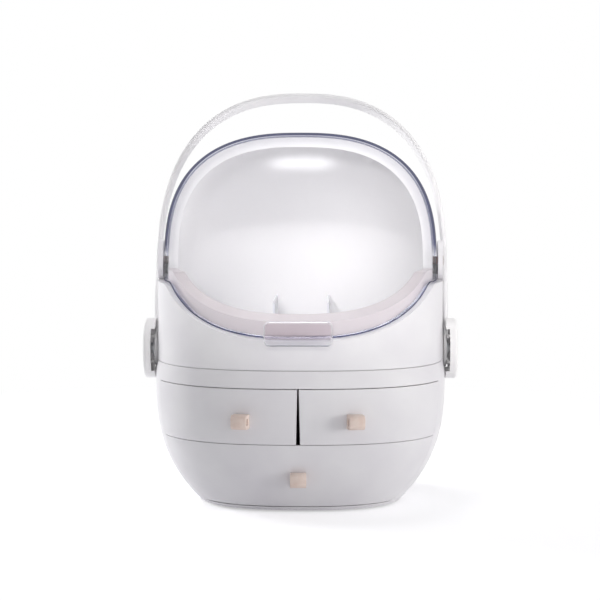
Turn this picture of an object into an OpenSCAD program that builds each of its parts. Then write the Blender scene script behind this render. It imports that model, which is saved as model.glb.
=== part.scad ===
// Countertop makeup organizer: a drawer cabinet, a domed upper box with a clear swing-up lid,
// and a carrying bail on two side hubs. Millimetres, +Z up, the front faces -Y, and the origin
// is the centre of the footprint on the surface it stands on.

/* [Cabinet] */
// Widest width of the drawer cabinet
cabinet_w = 220; // [218:0.5:222]
// Deepest depth of the drawer cabinet
cabinet_d = 203; // [201:0.5:205]
// Height of the parting line between the cabinet and the upper box
cabinet_h = 108; // [107:0.5:109]
// Width of the footprint
foot_w = 154; // [150:1:158]
// Depth of the footprint
foot_d = 140; // [136:1:144]
// Height of the upper edge of the small drawers
drawer_top = 95; // [94:0.5:96]
// Height of the line between the two rows of drawers
row_split = 54.2; // [53:0.2:56]
// Depth of the flat plane where the curved drawer fronts end, measured forward from the middle
front_cut = 47; // [46:0.5:48]
// Wall thickness of the white mouldings
wall = 2.6; // [2.4:0.1:2.8]

/* [Upper box] */
// Width of the upper box across its cheeks
box_w = 216.4; // [215.6:0.2:217]
// Depth of the upper box
box_d = 197; // [196.4:0.2:198]
// Height of the rim round the opening at the front, reckoned where the lid's face is
rim_front_z = 140.7; // [140:0.1:142]
// Height of the level part of that rim, beside the pivots
rim_level_z = 176.5; // [175:0.5:178]
// Slope of that rim towards the front in side view, in degrees
rim_slope = 35.4; // [34:0.2:37]
// Width of the rim round the opening
rim_w = 7.4; // [6:0.2:8]

/* [Lid] */
// Width of the lid
lid_w = 207; // [206.4:0.2:207.4]
// Radius of the lid about its pivots
lid_r = 97; // [96.6:0.1:97.2]
// Thickness of the lid
lid_t = 2.4; // [2.2:0.1:2.6]
// Height of the lid's pivots
pivot_z = 182; // [180:0.5:184]
// Height of the lid's lower edge at the front
edge_front_z = 131; // [130:0.5:132]
// Slope of the lid's lower edge towards the front in side view, in degrees
edge_slope = 38.6; // [37:0.2:40]
// Height of the level part of the lid's lower edge, beside the pivots
edge_level_z = 168.3; // [167:0.1:170]
// Width of the grip on the lid's front edge
grip_w = 49.6; // [40:0.4:54]

/* [Handle] */
// Height of the hubs
hub_z = 114.5; // [114:0.25:116]
// Height of the handle's top above the hubs when it stands upright
handle_h = 220.5; // [216:0.5:224]
// Width across the outside of the handle
handle_w = 227.2; // [226.8:0.2:228]
// How far the handle leans back at rest, in degrees
handle_lean = 28; // [20:0.5:30]
// Width of the handle's band, front to back
band_w = 12; // [10:0.5:14]
// Thickness of the handle's band
band_t = 4.4; // [4:0.1:4.4]
// Diameter of the round hub caps
hub_d = 46; // [44:0.5:48]
// Overall width across the hub caps
overall_w = 240; // [239:0.5:241]

/* [Pulls] */
// Width of each loop pull
pull_w = 11.6; // [10:0.2:13]
// Distance of the small drawers' pulls from the middle
pull_x = 40.6; // [36:0.2:44]
// Height of the pulls on the small drawers
pull_high_z = 71.5; // [68:0.5:76]
// Height of the pull on the wide drawer
pull_low_z = 28; // [26:0.5:32]

/* [Hidden] */
$fn = 64;

white = [0.95, 0.95, 0.94];
clear = [0.82, 0.88, 0.95, 0.45];
peach = [0.93, 0.80, 0.72];
brown = [0.42, 0.30, 0.25];
steel = [0.75, 0.76, 0.78];
rubber = [0.25, 0.25, 0.26];

plan_n = 2.5;       // roundness of the plan outlines: 2 is an ellipse, more is squarer
plan_sides = 64;    // sides of each plan outline
bow_sides = 30;     // sides of each curved drawer front
lid_n = 2.6;        // roundness of the lid's profile
dome_sides = 36;    // sides of the lid's half profile
seam = 0.8;         // gap round the drawer fronts
fit = 0.3;          // gap between mouldings that seat in one another

// ---- heights and clearances worked out from the sizes above ----
foot_h = 1.5;                          // how far the feet stand out below the base plate
plate_top = foot_h + 3;                // upper face of the base plate
shelf_t = 1.8;                         // shelf of the drawer frame
shelf_z = row_split - shelf_t / 2;     // underside of that shelf
floor_t = 2.5;                         // floor of the upper box
floor_z = cabinet_h + 0.2 - floor_t;   // underside of that floor
lid_gap = 0.7;                         // gap between the lid and the dome under it
dome_a = lid_w / 2 - lid_t - lid_gap;  // half width of the dome under the lid
dome_r = lid_r - lid_t - lid_gap;      // radius of that dome about the lid's pivots
dome_t = 2.2;                          // thickness of the dome
rim_y = -8;                            // front face of the rim that arches over the opening
edge_gap = 0.8;                        // gap under the lid's edges, closed or open
ledge_z = pivot_z - edge_gap;          // level shoulder behind the pivots
bend_r = 14;                           // radius of the bend in the lid's lower edge
corner_r = 10;                         // radius of the corners in the sides of the opening
cheek_r = 15;                          // radius of the cheeks' ears round the pivots
cheek_x = lid_w / 2 + 0.8;             // inner face of the cheeks, beside the lid
ear_r = 10;                            // radius of the lid's ears
pin_r = 3;                             // radius of the lid's pins
hub_x = 108.4;                         // outer face of the hub plates
stub_r = 6;                            // radius of the stubs that the handle turns on
eye_r = 14;                            // radius of the handle's eyes
eye_t = 2.45;                          // thickness of the handle's eyes
eye_x = hub_x + 0.55;                  // inner face of the handle's eyes
seat_r = 17;                           // radius of the hub plates
cap_x = cabinet_w / 2 + 0.4;           // inner edge of the hub caps

// ---- outlines ----
// Power that keeps the sign
function bent(v, p) = sign(v) * pow(abs(v), p);
// Point at angle t on a superellipse of half sizes a and b
function outline_point(a, b, n, t) = [a * bent(cos(t), 2 / n), b * bent(sin(t), 2 / n)];
// Whole superellipse, counter-clockwise
function outline(a, b, n, sides) = [for (i = [0 : sides - 1]) outline_point(a, b, n, 360 * i / sides)];

// How far the cabinet has swelled from its footprint to its widest at height z, from 0 to 1
function swell(z) = z < drawer_top ? 1 - pow((drawer_top - z) / (drawer_top - foot_h), 2.8) : 1;
// How far it has drawn in again to the upper box's size, from 0 to 1
function tuck(z) = z > drawer_top ? pow((z - drawer_top) / (cabinet_h - drawer_top), 2) : 0;
// Half width and half depth of the cabinet at height z
function half_w(z) = foot_w / 2 + (cabinet_w - foot_w) / 2 * swell(z) - (cabinet_w - box_w) / 2 * tuck(z);
function half_d(z) = foot_d / 2 + (cabinet_d - foot_d) / 2 * swell(z) - (cabinet_d - box_d) / 2 * tuck(z);
// Half width of the cabinet's front mouth at height z, inside a wall of the given thickness
function mouth(z, inset) =
    (half_w(z) - inset) * pow(1 - pow(front_cut / (half_d(z) - inset), plan_n), 1 / plan_n);

// Side view of an edge that slopes up from the front and bends to level, moved square to itself by rise
function edge_path(front, slope, level, rise) =
    let (
        r = bend_r + rise,
        z = level - bend_r,
        y = (z + bend_r / cos(slope) - front) / tan(slope) - lid_r)
    concat(
        [[-140, front + tan(slope) * (lid_r - 140) + rise / cos(slope)]],
        [for (i = [5 : -1 : 0]) [y - r * sin(slope * i / 5), z + r * cos(slope * i / 5)]]);

// ---- shared forms ----
// Closed solid through a stack of rings of points, each ring at one height
module loft(rings) {
    n = len(rings[0]);
    m = len(rings);
    side = [for (j = [0 : m - 2], i = [0 : n - 1])
        let (k = (i + 1) % n, lo = j * n, hi = lo + n)
        each [[lo + i, hi + i, hi + k], [lo + i, hi + k, lo + k]]];
    bottom = [for (i = [0 : n - 1]) i];
    top = [for (i = [n - 1 : -1 : 0]) (m - 1) * n + i];
    polyhedron([for (r = rings) each r], concat([bottom], side, [top]), convexity = 4);
}

// Solid of the cabinet's form between two heights, inset from its outside
module cabinet_form(z0, z1, inset, levels) {
    loft([for (j = [0 : levels])
        let (z = z0 + (z1 - z0) * pow(j / levels, 1.4))
        [for (p = outline(half_w(z) - inset, half_d(z) - inset, plan_n, plan_sides)) [p[0], p[1], z]]]);
}

// The part of that form in front of the plane y = -cut: the bow that the drawer fronts share
module bow_form(z0, z1, inset, cut, levels = 6) {
    loft([for (j = [0 : levels])
        let (
            z = z0 + (z1 - z0) * j / levels,
            a = half_w(z) - inset,
            b = half_d(z) - inset,
            start = asin(pow(cut / b, plan_n / 2)))
        [for (i = [0 : bow_sides])
            let (p = outline_point(a, b, plan_n, 180 + start + (180 - 2 * start) * i / bow_sides))
            [p[0], p[1], z]]]);
}

// Upright block with a superellipse plan
module plan_block(a, b, z0, z1, n = plan_n, sides = plan_sides) {
    translate([0, 0, z0]) linear_extrude(z1 - z0) polygon(outline(a, b, n, sides));
}

// Form of the lid and dome: turned about the pivots above them, upright below them
module dome_form(a, r, z0) {
    half = [for (i = [0 : dome_sides])
        let (t = 180 * i / dome_sides - 90)
        [r * pow(cos(t), 2 / lid_n), a * bent(sin(t), 2 / lid_n)]];
    translate([0, 0, pivot_z]) rotate([0, 90, 0]) rotate([0, 0, 90]) rotate_extrude(angle = 180) polygon(half);
    plan_block(a, r, z0, pivot_z, lid_n, 2 * dome_sides);
}

// Pushes a side view, drawn as depth and height, through the whole width
module along_x(width = 260) {
    rotate([90, 0, 90]) linear_extrude(width, center = true) children();
}

// Cylinder along X from x0 to x1 at depth y and height z
module bar_x(x0, x1, r, y, z) {
    translate([x0, y, z]) rotate([0, 90, 0]) cylinder(r = r, h = x1 - x0);
}

// Child on the right, and its mirror image on the left
module both_sides() {
    children();
    mirror([1, 0, 0]) children();
}

// Child in all four quarters
module four_corners() {
    both_sides() {
        children();
        mirror([0, 1, 0]) children();
    }
}

// ---- cabinet ----
// Where the hub plates sit in the walls
module hub_seats() {
    both_sides() {
        bar_x(hub_x - 1.7, 130, seat_r + 0.1, 0, hub_z);
        bar_x(90, 130, 7.1, 0, hub_z);
    }
}

// Thick round pads inside the walls behind the hub plates
module hub_pads() {
    both_sides() bar_x(hub_x - 4.2, hub_x - 0.8, seat_r + 2, 0, hub_z);
}

base_screw_spots = [[69, 14], [69, -30], [40, 55]];

module base_screw_places() {
    both_sides() for (p = base_screw_spots) translate([p[0], p[1], 0]) children();
}

module lower_housing() {
    color(white) difference() {
        union() {
            difference() {
                cabinet_form(plate_top, cabinet_h - 0.2, 0, 15);
                cabinet_form(plate_top - 2, cabinet_h + 2, wall, 15);
            }
            // inward flange that the base plate is screwed to
            intersection() {
                cabinet_form(plate_top, plate_top + 2, 1, 1);
                difference() {
                    plan_block(100, 100, plate_top, plate_top + 2);
                    plan_block(foot_w / 2 - 13, foot_d / 2 - 13, 0, 20);
                }
            }
            // rails that carry the drawer frame's shelf
            both_sides() intersection() {
                cabinet_form(shelf_z - 3, shelf_z, 1, 1);
                translate([94, -front_cut + 3, shelf_z - 2]) cube([20, 80, 2]);
            }
            // ledge under the floor of the upper box
            difference() {
                plan_block(box_w / 2 - 1, box_d / 2 - 1, floor_z - 2, floor_z);
                plan_block(box_w / 2 - wall - 3.5, box_d / 2 - wall - 3.5, floor_z - 3, floor_z + 1);
            }
            intersection() {
                hub_pads();
                translate([-150, -150, 0]) cube([300, 300, cabinet_h - 0.2]);
            }
            base_screw_places() translate([0, 0, plate_top]) cylinder(r = 3.4, h = 2.6);
        }
        // mouth for the drawers
        translate([-150, -150, 0]) cube([300, 150 - front_cut, drawer_top + 0.4]);
        hub_seats();
        base_screw_places() cylinder(r = 1.4, h = 20);
    }
}

foot_spots = [54, 40];

module base_plate() {
    color(white) difference() {
        union() {
            cabinet_form(foot_h, plate_top - 0.05, 0, 2);
            // runners for the wide drawer
            both_sides() translate([38, -58, plate_top - 1]) cube([4, 100, 3.6]);
        }
        four_corners() translate([foot_spots[0], foot_spots[1], 0]) cylinder(r = 6.1, h = foot_h + 0.8);
        base_screw_places() cylinder(r = 1.6, h = 20);
        base_screw_places() translate([0, 0, 0]) cylinder(r = 3.3, h = foot_h + 1.6);
    }
}

module drawer_frame() {
    color(white) {
        difference() {
            plan_block(half_w(row_split) - wall - 0.4, half_d(row_split) - wall - 0.4, shelf_z, shelf_z + shelf_t);
            translate([-150, -150, 0]) cube([300, 150 - front_cut + 1.5, 200]);
        }
        // wall between the two small drawers
        translate([-0.8, -front_cut + 1.5, shelf_z]) cube([1.6, front_cut + 84, floor_z - 0.2 - shelf_z]);
    }
}

// ---- upper box ----
housing_screw_spot = [73, 68.5];
divider_x = 21;
divider_h = 41.5;

module compartment_floor() {
    inner_a = box_w / 2 - wall;
    inner_b = box_d / 2 - wall;
    color(white) difference() {
        union() {
            plan_block(inner_a - fit, inner_b - fit, floor_z, floor_z + floor_t);
            // upstand that lines up the two housings
            difference() {
                plan_block(inner_a - fit, inner_b - 0.2, floor_z, cabinet_h + 6);
                plan_block(inner_a - 1.9, inner_b - 1.35, floor_z - 1, cabinet_h + 7);
            }
            // low walls that divide the back of the upper box
            both_sides() translate([divider_x - 0.8, 12, floor_z + 1]) cube([1.6, 74, divider_h]);
        }
        both_sides() bar_x(101, 130, seat_r + 2.3, 0, hub_z);
        four_corners() translate([housing_screw_spot[0], housing_screw_spot[1], floor_z - 1])
            cylinder(r = 1.6, h = floor_t + 2);
    }
}

// Side view of everything below the shoulder, lowered by drop
module below_shoulder(drop) {
    lower = -edge_gap - drop;
    level = ledge_z - drop;
    step = edge_gap + drop;
    polygon(concat(
        edge_path(edge_front_z, edge_slope, edge_level_z, lower),
        [[step, edge_level_z + lower], [step, level], [130, level], [130, 90], [-140, 90]]));
}

module upper_housing() {
    top = pivot_z + 20;
    color(white) difference() {
        union() {
            intersection() {
                difference() {
                    plan_block(box_w / 2, box_d / 2, cabinet_h + 0.1, top);
                    plan_block(box_w / 2 - wall, box_d / 2 - wall, cabinet_h - 1, top + 1);
                }
                along_x() union() {
                    below_shoulder(0);
                    translate([0, pivot_z]) circle(r = cheek_r);
                }
            }
            // shoulder between the outer wall and the dome
            intersection() {
                difference() {
                    plan_block(box_w / 2 - 1, box_d / 2 - 1, cabinet_h + 1, top);
                    plan_block(dome_a + 0.15, dome_r + 0.15, cabinet_h, top + 1, lid_n, 2 * dome_sides);
                }
                along_x() difference() {
                    below_shoulder(0);
                    below_shoulder(2);
                }
            }
            intersection() {
                hub_pads();
                translate([-150, -150, cabinet_h + 0.1]) cube([300, 300, 100]);
            }
            // thicker cheeks, close beside the lid's ears
            both_sides() bar_x(cheek_x, box_w / 2 - 1, cheek_r, 0, pivot_z);
        }
        hub_seats();
        // pockets for the lid's ears, and the pins through the cheeks
        both_sides() {
            bar_x(dome_a - 1, cheek_x, ear_r + 1, 0, pivot_z);
            bar_x(90, 130, pin_r + 0.05, 0, pivot_z);
            bar_x(box_w / 2 - 0.7, 130, 4.7, 0, pivot_z);
        }
    }
}

// Side view of the opening in the dome, grown by more on every side
module opening_side(more) {
    y = rim_y - corner_r;
    z = rim_level_z + corner_r;
    r = corner_r + more;
    polygon(concat(
        edge_path(rim_front_z, rim_slope, rim_level_z, -more),
        [for (i = [0 : 5]) [y + r * sin(18 * i), z - r * cos(18 * i)]],
        [[rim_y + more, 320], [-140, 320]]));
}

module dome_shell() {
    base = floor_z + floor_t;
    color(white) difference() {
        union() {
            difference() {
                dome_form(dome_a, dome_r, base);
                dome_form(dome_a - dome_t, dome_r - dome_t, base - 1);
            }
            // flat rim round the opening
            intersection() {
                difference() {
                    dome_form(dome_a - 1, dome_r - 1, base + 20);
                    dome_form(dome_a - rim_w, dome_r - rim_w, base + 10);
                }
                along_x() opening_side(2.2);
            }
            four_corners() translate([housing_screw_spot[0], housing_screw_spot[1], base]) cylinder(r = 4.4, h = 12);
        }
        along_x() opening_side(0);
        both_sides() bar_x(90, 130, pin_r + 0.05, 0, pivot_z);
        four_corners() translate([housing_screw_spot[0], housing_screw_spot[1], base - 1]) cylinder(r = 1.4, h = 11);
    }
}

// ---- lid ----
// Rounded rectangle of width w between heights z0 and z1
module rounded_plate(w, z0, z1, r) {
    translate([-w / 2 + r, z0]) square([w - 2 * r, z1 - z0]);
    translate([-w / 2, z0 + r]) square([w, z1 - z0 - 2 * r]);
    for (x = [-w / 2 + r, w / 2 - r], z = [z0 + r, z1 - r]) translate([x, z]) circle(r = r);
}

module grip() {
    low = edge_front_z - 5;
    high = edge_front_z + 12.7;
    f = -lid_r;
    intersection() {
        translate([0, -80, 0]) rotate([90, 0, 0]) linear_extrude(40) rounded_plate(grip_w, low, high, 4);
        along_x(grip_w + 2) polygon([
            [f + 1.6, high], [f - 3.6, high], [f - 5.4, high - 4], [f - 5.8, low + 5], [f - 7.2, low + 3],
            [f - 7.2, low], [f - 4.4, low], [f - 2.6, low + 5.2], [f - 2.6, low + 8], [f + 1.6, low + 8]]);
    }
}

module lid() {
    color(clear) difference() {
        union() {
            intersection() {
                difference() {
                    dome_form(lid_w / 2, lid_r, edge_front_z - 10);
                    dome_form(lid_w / 2 - lid_t, lid_r - lid_t, edge_front_z - 11);
                }
                along_x() union() {
                    polygon(concat(
                        edge_path(edge_front_z, edge_slope, edge_level_z, 0),
                        [[0, edge_level_z], [0, 320], [-140, 320]]));
                    translate([0, pivot_z]) circle(r = ear_r);
                }
            }
            grip();
        }
        bar_x(-130, 130, pin_r + 0.08, 0, pivot_z);
    }
}

module lid_pin() {
    color(brown) {
        bar_x(box_w / 2 - 0.7, box_w / 2 + 0.1, 4.5, 0, pivot_z);
        translate([box_w / 2 + 0.1, 0, pivot_z]) rotate([0, 90, 0]) cylinder(r1 = 4.5, r2 = 3.6, h = 0.5);
        bar_x(dome_a - dome_t - 2.6, box_w / 2, pin_r, 0, pivot_z);
    }
}

module lid_pin_right() lid_pin();

module lid_pin_left() mirror([1, 0, 0]) lid_pin();

module lid_pin_clips() {
    color(steel) both_sides() difference() {
        bar_x(dome_a - dome_t - 1.4, dome_a - dome_t - 0.4, 5.4, 0, pivot_z);
        bar_x(90, 110, pin_r + 0.02, 0, pivot_z);
    }
}

// ---- handle ----
band_sides = 12;        // sides of the band's rounded section
arch_steps = 36;        // rings round the arch
arm_h = 70;             // height above the hubs where the straight arms end
arm_steps = 6;          // rings along each straight arm
arch_n = 2.5;

// Middle line of the right half's straight arm at height h above the hub: [x, h, thickness, width]
function arm_ring(h) =
    let (u = min(1, h / 34), t = eye_t + (band_t - eye_t) * u, outer = eye_x + eye_t + (handle_w / 2 - eye_x - eye_t) * u)
    [outer - t / 2, h, t, band_w + 2 * (1 - u)];
// Middle line of the arch at angle t
function arch_ring(t) =
    let (p = outline_point(handle_w / 2 - band_t / 2, handle_h - arm_h - band_t / 2, arch_n, t))
    [p[0], p[1] + arm_h, band_t, band_w];
function mirrored(r) = [-r[0], r[1], r[2], r[3]];
arm = [for (i = [0 : arm_steps - 1]) arm_ring(8 + (arm_h - 8) * i / arm_steps)];
band_path = concat(
    arm,
    [for (i = [0 : arch_steps]) arch_ring(180 * i / arch_steps)],
    [for (i = [arm_steps - 1 : -1 : 0]) mirrored(arm[i])]);

// The band: a rounded flat section swept along the arms and the arch, in the plane y = 0
module band() {
    last = len(band_path) - 1;
    rings = [for (i = [0 : last])
        let (
            c = band_path[i],
            d = band_path[min(i + 1, last)] - band_path[max(i - 1, 0)],
            along = norm([d[0], d[1]]),
            out_x = d[1] / along,
            out_z = -d[0] / along)
        [for (k = [0 : band_sides - 1])
            let (s = outline_point(c[2] / 2, c[3] / 2, 3.2, 360 * (k + 0.5) / band_sides))
            [c[0] + out_x * s[0], s[1], c[1] + out_z * s[0]]]];
    loft(rings);
}

module lean() translate([0, 0, hub_z]) rotate([-handle_lean, 0, 0]) children();

module handle() {
    color(white) lean() difference() {
        union() {
            band();
            both_sides() bar_x(eye_x, eye_x + eye_t, eye_r, 0, 0);
        }
        both_sides() bar_x(90, 130, stub_r + 0.05, 0, 0);
    }
}

cap_depth = overall_w / 2 - cap_x;
cap_r = hub_d / 2;
slot_h = 32;            // length of the slots in the caps' skirts
slot_w = 3;             // width of those slots

// Cap over one hub: a turned dish with a slot at the front and the back, and a notch for the arm
module hub_cap() {
    bend = 2.6;
    color(white) difference() {
        union() {
            translate([cap_x, 0, hub_z]) rotate([0, 90, 0]) rotate_extrude() difference() {
                union() {
                    square([cap_r - bend, cap_depth - 0.6]);
                    square([cap_r, cap_depth - 0.6 - bend]);
                    translate([cap_r - bend, cap_depth - 0.6 - bend]) circle(r = bend);
                    polygon([[0, cap_depth - 1], [cap_r - bend, cap_depth - 1], [cap_r - bend, cap_depth - 0.6],
                        [cap_r - 9, cap_depth - 0.15], [0, cap_depth]]);
                }
                translate([0, -1]) square([cap_r - 2.2, cap_depth - 1.6]);
                translate([-10, -10]) square([10, 40]);
            }
            // posts that press on the handle's eye
            translate([0, 0, hub_z]) rotate([-handle_lean, 0, 0]) for (a = [60, 180, 300])
                rotate([a, 0, 0]) bar_x(eye_x + eye_t, overall_w / 2 - 2, 1.5, 0, 11.4);
        }
        for (y = [-cap_r - 1, cap_r - 12]) translate([cap_x - 1, y, hub_z - slot_h / 2]) cube([slot_w + 1, 13, slot_h]);
        translate([0, 0, hub_z]) rotate([-handle_lean, 0, 0]) translate([cap_x - 5, -band_w / 2 - 1, 10])
            cube([8.2, band_w + 2, 20]);
    }
}

module hub_cap_right() hub_cap();

module hub_cap_left() mirror([1, 0, 0]) hub_cap();

// Bearing plate in the wall: a disc with the stub that the handle's eye turns on
module hub_plate() {
    color(white) difference() {
        union() {
            bar_x(hub_x - 1.7, hub_x, seat_r, 0, hub_z);
            bar_x(hub_x - 7, hub_x, 7, 0, hub_z);
            bar_x(hub_x, eye_x + eye_t + 0.1, stub_r, 0, hub_z);
        }
        bar_x(90, 130, 2.05, 0, hub_z);
        // pocket for the nut
        translate([hub_x - 8, 0, hub_z]) rotate([0, 90, 0]) cylinder(r = 4.06, h = 4.2, $fn = 6);
    }
}

module hub_plate_right() hub_plate();

module hub_plate_left() mirror([1, 0, 0]) hub_plate();

module friction_washers() {
    color(rubber) both_sides() difference() {
        bar_x(hub_x, hub_x + 0.5, 12, 0, hub_z);
        bar_x(90, 130, stub_r + 0.1, 0, hub_z);
    }
}

washer_x = eye_x + eye_t + 0.1;

module retaining_washers() {
    color(steel) both_sides() difference() {
        bar_x(washer_x, washer_x + 1.2, 7.6, 0, hub_z);
        bar_x(90, 130, 2.1, 0, hub_z);
    }
}

module pivot_screws() {
    color(steel) both_sides() {
        bar_x(washer_x + 1.2, washer_x + 3.2, 4, 0, hub_z);
        bar_x(hub_x - 7.4, washer_x + 1.2, 2, 0, hub_z);
    }
}

module pivot_nuts() {
    color(steel) both_sides() translate([hub_x - 7.1, 0, hub_z]) rotate([0, 90, 0]) difference() {
        cylinder(r = 4, h = 3.2, $fn = 6);
        translate([0, 0, -1]) cylinder(r = 2.02, h = 6);
    }
}

// ---- drawers ----
// Plan of a tray: straight sides from the front, and a round back that clears the cabinet's wall
function tray_plan(a, rear) = concat(
    [[-a, -120], [a, -120]],
    [for (i = [0 : 24]) outline_point(a, rear, plan_n, 180 * i / 24)]);

// Front view of a tray: it follows the mouth of the cabinet, and is at most a wide at each side
function tray_side(z, a, inset) = min(mouth(z, wall) - 1.2, a) - inset;
function tray_section(z0, z1, a, inset, steps) = concat(
    [for (i = [0 : steps]) let (z = z0 + (z1 - z0) * i / steps) [tray_side(z, a, inset), z]],
    [for (i = [steps : -1 : 0]) let (z = z0 + (z1 - z0) * i / steps) [-tray_side(z, a, inset), z]]);

// Block of a tray's form, inset from its outside
module tray_form(z0, z1, a, rear, inset, steps) {
    intersection() {
        translate([0, 0, z0 - 1]) linear_extrude(z1 - z0 + 2) polygon(tray_plan(a + 10 - inset, rear - inset));
        translate([0, 120, 0]) rotate([90, 0, 0]) linear_extrude(260) polygon(tray_section(z0, z1, a, inset, steps));
    }
}

// Room for a tray in the bow: behind the front's inner face, and everything behind the flat plane
module behind_front(z0, z1, inset) {
    bow_form(z0, z1, inset, front_cut);
    translate([-130, -front_cut - 0.4, z0]) cube([260, 200, z1 - z0]);
}

tray_t = 1.8;           // thickness of the trays' walls
middle_gap = 1.4;       // distance of the small drawers' trays from the middle

// Curved front of a drawer: a shell of the bow
module drawer_front(z0, z1) {
    difference() {
        bow_form(z0, z1, 0, front_cut + 0.4);
        bow_form(z0 - 1, z1 + 1, wall, front_cut - 0.6);
    }
}

// Outside of a tray, which starts inside the front's thickness and clears the cabinet's wall at the back
module tray_block(z0, z1, a, rear, steps) {
    intersection() {
        tray_form(z0, z1, a, rear, 0, steps);
        behind_front(z0 - 1, z1 + 1, 1);
        clear_of_wall(z0 - 1, z1 + 1, 0);
    }
}

// Room inside the cabinet's wall behind the front, inset from the outside of a tray
module clear_of_wall(z0, z1, inset) {
    cabinet_form(z0, z1, wall + 1 + inset, 5);
    translate([-130, -130, z0]) cube([260, 130, z1 - z0]);
}

// Open box of a tray
module tray(z0, z1, a, rear, steps) {
    difference() {
        tray_block(z0, z1, a, rear, steps);
        intersection() {
            tray_form(z0 + tray_t, z1 + 2, a, rear, tray_t, steps);
            behind_front(z0 + tray_t, z1 + 2, wall);
            clear_of_wall(z0, z1 + 3, tray_t);
        }
    }
}

high_row = [row_split + seam / 2, drawer_top - seam / 2];
low_row = [plate_top + seam, row_split - seam / 2];

// Everything to the left of the middle, less a gap that opens towards the bottom
module left_of_middle() {
    narrow = 0.6;
    wide = 1.5;
    rotate([90, 0, 0]) linear_extrude(300, center = true) polygon([
        [-150, high_row[0] - 20], [-wide, high_row[0] - 20], [-wide, high_row[0]],
        [-narrow, high_row[1]], [-narrow, high_row[1] + 20], [-150, high_row[1] + 20]]);
}

module small_drawer() {
    a = 94.5;
    rear = 86;
    z0 = shelf_z + shelf_t + 0.4;
    z1 = high_row[1] - 2.6;
    color(white) difference() {
        union() {
            intersection() {
                drawer_front(high_row[0], high_row[1]);
                left_of_middle();
            }
            intersection() {
                tray(z0, z1, a, rear, 4);
                translate([-150, -150, 0]) cube([150 - middle_gap, 300, 200]);
            }
            // side of the tray at the middle
            intersection() {
                tray_block(z0, z1, a, rear, 4);
                translate([-middle_gap - tray_t, -150, 0]) cube([tray_t, 300, 200]);
            }
        }
        rivet_hole(-pull_x, pull_high_z);
    }
}

module drawer_left() small_drawer();

module drawer_right() mirror([1, 0, 0]) small_drawer();

module drawer_bottom() {
    color(white) difference() {
        union() {
            drawer_front(low_row[0], low_row[1]);
            tray(plate_top + 2.9, low_row[1] - 1.6, 91.5, 62, 8);
        }
        rivet_hole(0, pull_low_z);
    }
}

// ---- pulls ----
// Where a front's outer face is at distance x from the middle and height z
function front_y(x, z) = -half_d(z) * pow(1 - pow(abs(x) / half_w(z), plan_n), 1 / plan_n);
// Turn of that face about Z, from the slope of the outline
function front_turn(x, z) = atan((front_y(x + 1, z) - front_y(x - 1, z)) / 2);
// How much further back that face is for each millimetre up, square to the turned face
function front_lean(x, z) = cos(front_turn(x, z)) * (front_y(x, z + 1) - front_y(x, z - 1)) / 2;

loop_h = 10.6;          // height of a loop
loop_out = 10;          // how far a loop stands off the front
loop_hole = 2.7;        // radius of the hole through it
loop_seat = 0.1;        // gap between the loop and the front
rivet_r = 1.2;          // radius of the rivets' shanks
rivet_in = 1.6;         // how deep the rivets go into the fronts

// Puts a child on a front at x and z, with its own -Y square to the face
module on_front(x, z) {
    translate([x, front_y(x, z), z]) rotate([0, 0, front_turn(x, z)]) children();
}

// Loop of thick strap seen from the side, with its back cut to the lean of the front
module loop_side(lean_rate) {
    r = 3.4;
    difference() {
        union() {
            translate([-loop_out, -loop_h / 2 + r]) square([loop_out + 4, loop_h - 2 * r]);
            translate([-loop_out + r, -loop_h / 2]) square([loop_out + 4 - r, loop_h]);
            for (s = [-1, 1]) translate([-loop_out + r, s * (loop_h / 2 - r)]) circle(r = r);
        }
        translate([-loop_out / 2 - 0.9, 0]) circle(r = loop_hole);
        polygon([[-loop_seat - 20 * lean_rate, -20], [40, -20], [40, 20], [-loop_seat + 20 * lean_rate, 20]]);
    }
}

module pull(x, z) {
    color(peach) on_front(x, z) difference() {
        along_x(pull_w) loop_side(front_lean(x, z));
        translate([0, 3, 0]) rotate([90, 0, 0]) cylinder(r = rivet_r + 0.1, h = 8);
        translate([0, -3.3, 0]) rotate([90, 0, 0]) cylinder(r = 2, h = 2.6);
    }
}

module pull_rivet(x, z) {
    color(brown) on_front(x, z) {
        translate([0, -3.3, 0]) rotate([90, 0, 0]) cylinder(r1 = 1.9, r2 = 1.5, h = 0.8);
        translate([0, rivet_in, 0]) rotate([90, 0, 0]) cylinder(r = rivet_r, h = rivet_in + 3.3);
    }
}

// Blind hole for a rivet in a front
module rivet_hole(x, z) {
    on_front(x, z) translate([0, rivet_in + 0.1, 0]) rotate([90, 0, 0]) cylinder(r = rivet_r + 0.05, h = 8);
}

module pull_left() pull(-pull_x, pull_high_z);

module pull_right() pull(pull_x, pull_high_z);

module pull_bottom() pull(0, pull_low_z);

module pull_rivet_left() pull_rivet(-pull_x, pull_high_z);

module pull_rivet_right() pull_rivet(pull_x, pull_high_z);

module pull_rivet_bottom() pull_rivet(0, pull_low_z);

// ---- underside ----
module rubber_feet() {
    color(rubber) four_corners() translate([foot_spots[0], foot_spots[1], 0]) {
        cylinder(r1 = 5.4, r2 = 6, h = 0.6);
        translate([0, 0, 0.6]) cylinder(r = 6, h = foot_h + 0.15);
    }
}

module base_screws() {
    color(steel) base_screw_places() {
        translate([0, 0, foot_h + 0.3]) cylinder(r = 3, h = 1.3);
        translate([0, 0, foot_h + 1.6]) cylinder(r = 1.35, h = 3.8);
    }
}

module housing_screws() {
    color(steel) four_corners() translate([housing_screw_spot[0], housing_screw_spot[1], 0]) {
        translate([0, 0, floor_z - 1.8]) cylinder(r = 3, h = 1.8);
        translate([0, 0, floor_z]) cylinder(r = 1.35, h = 10);
    }
}

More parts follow.
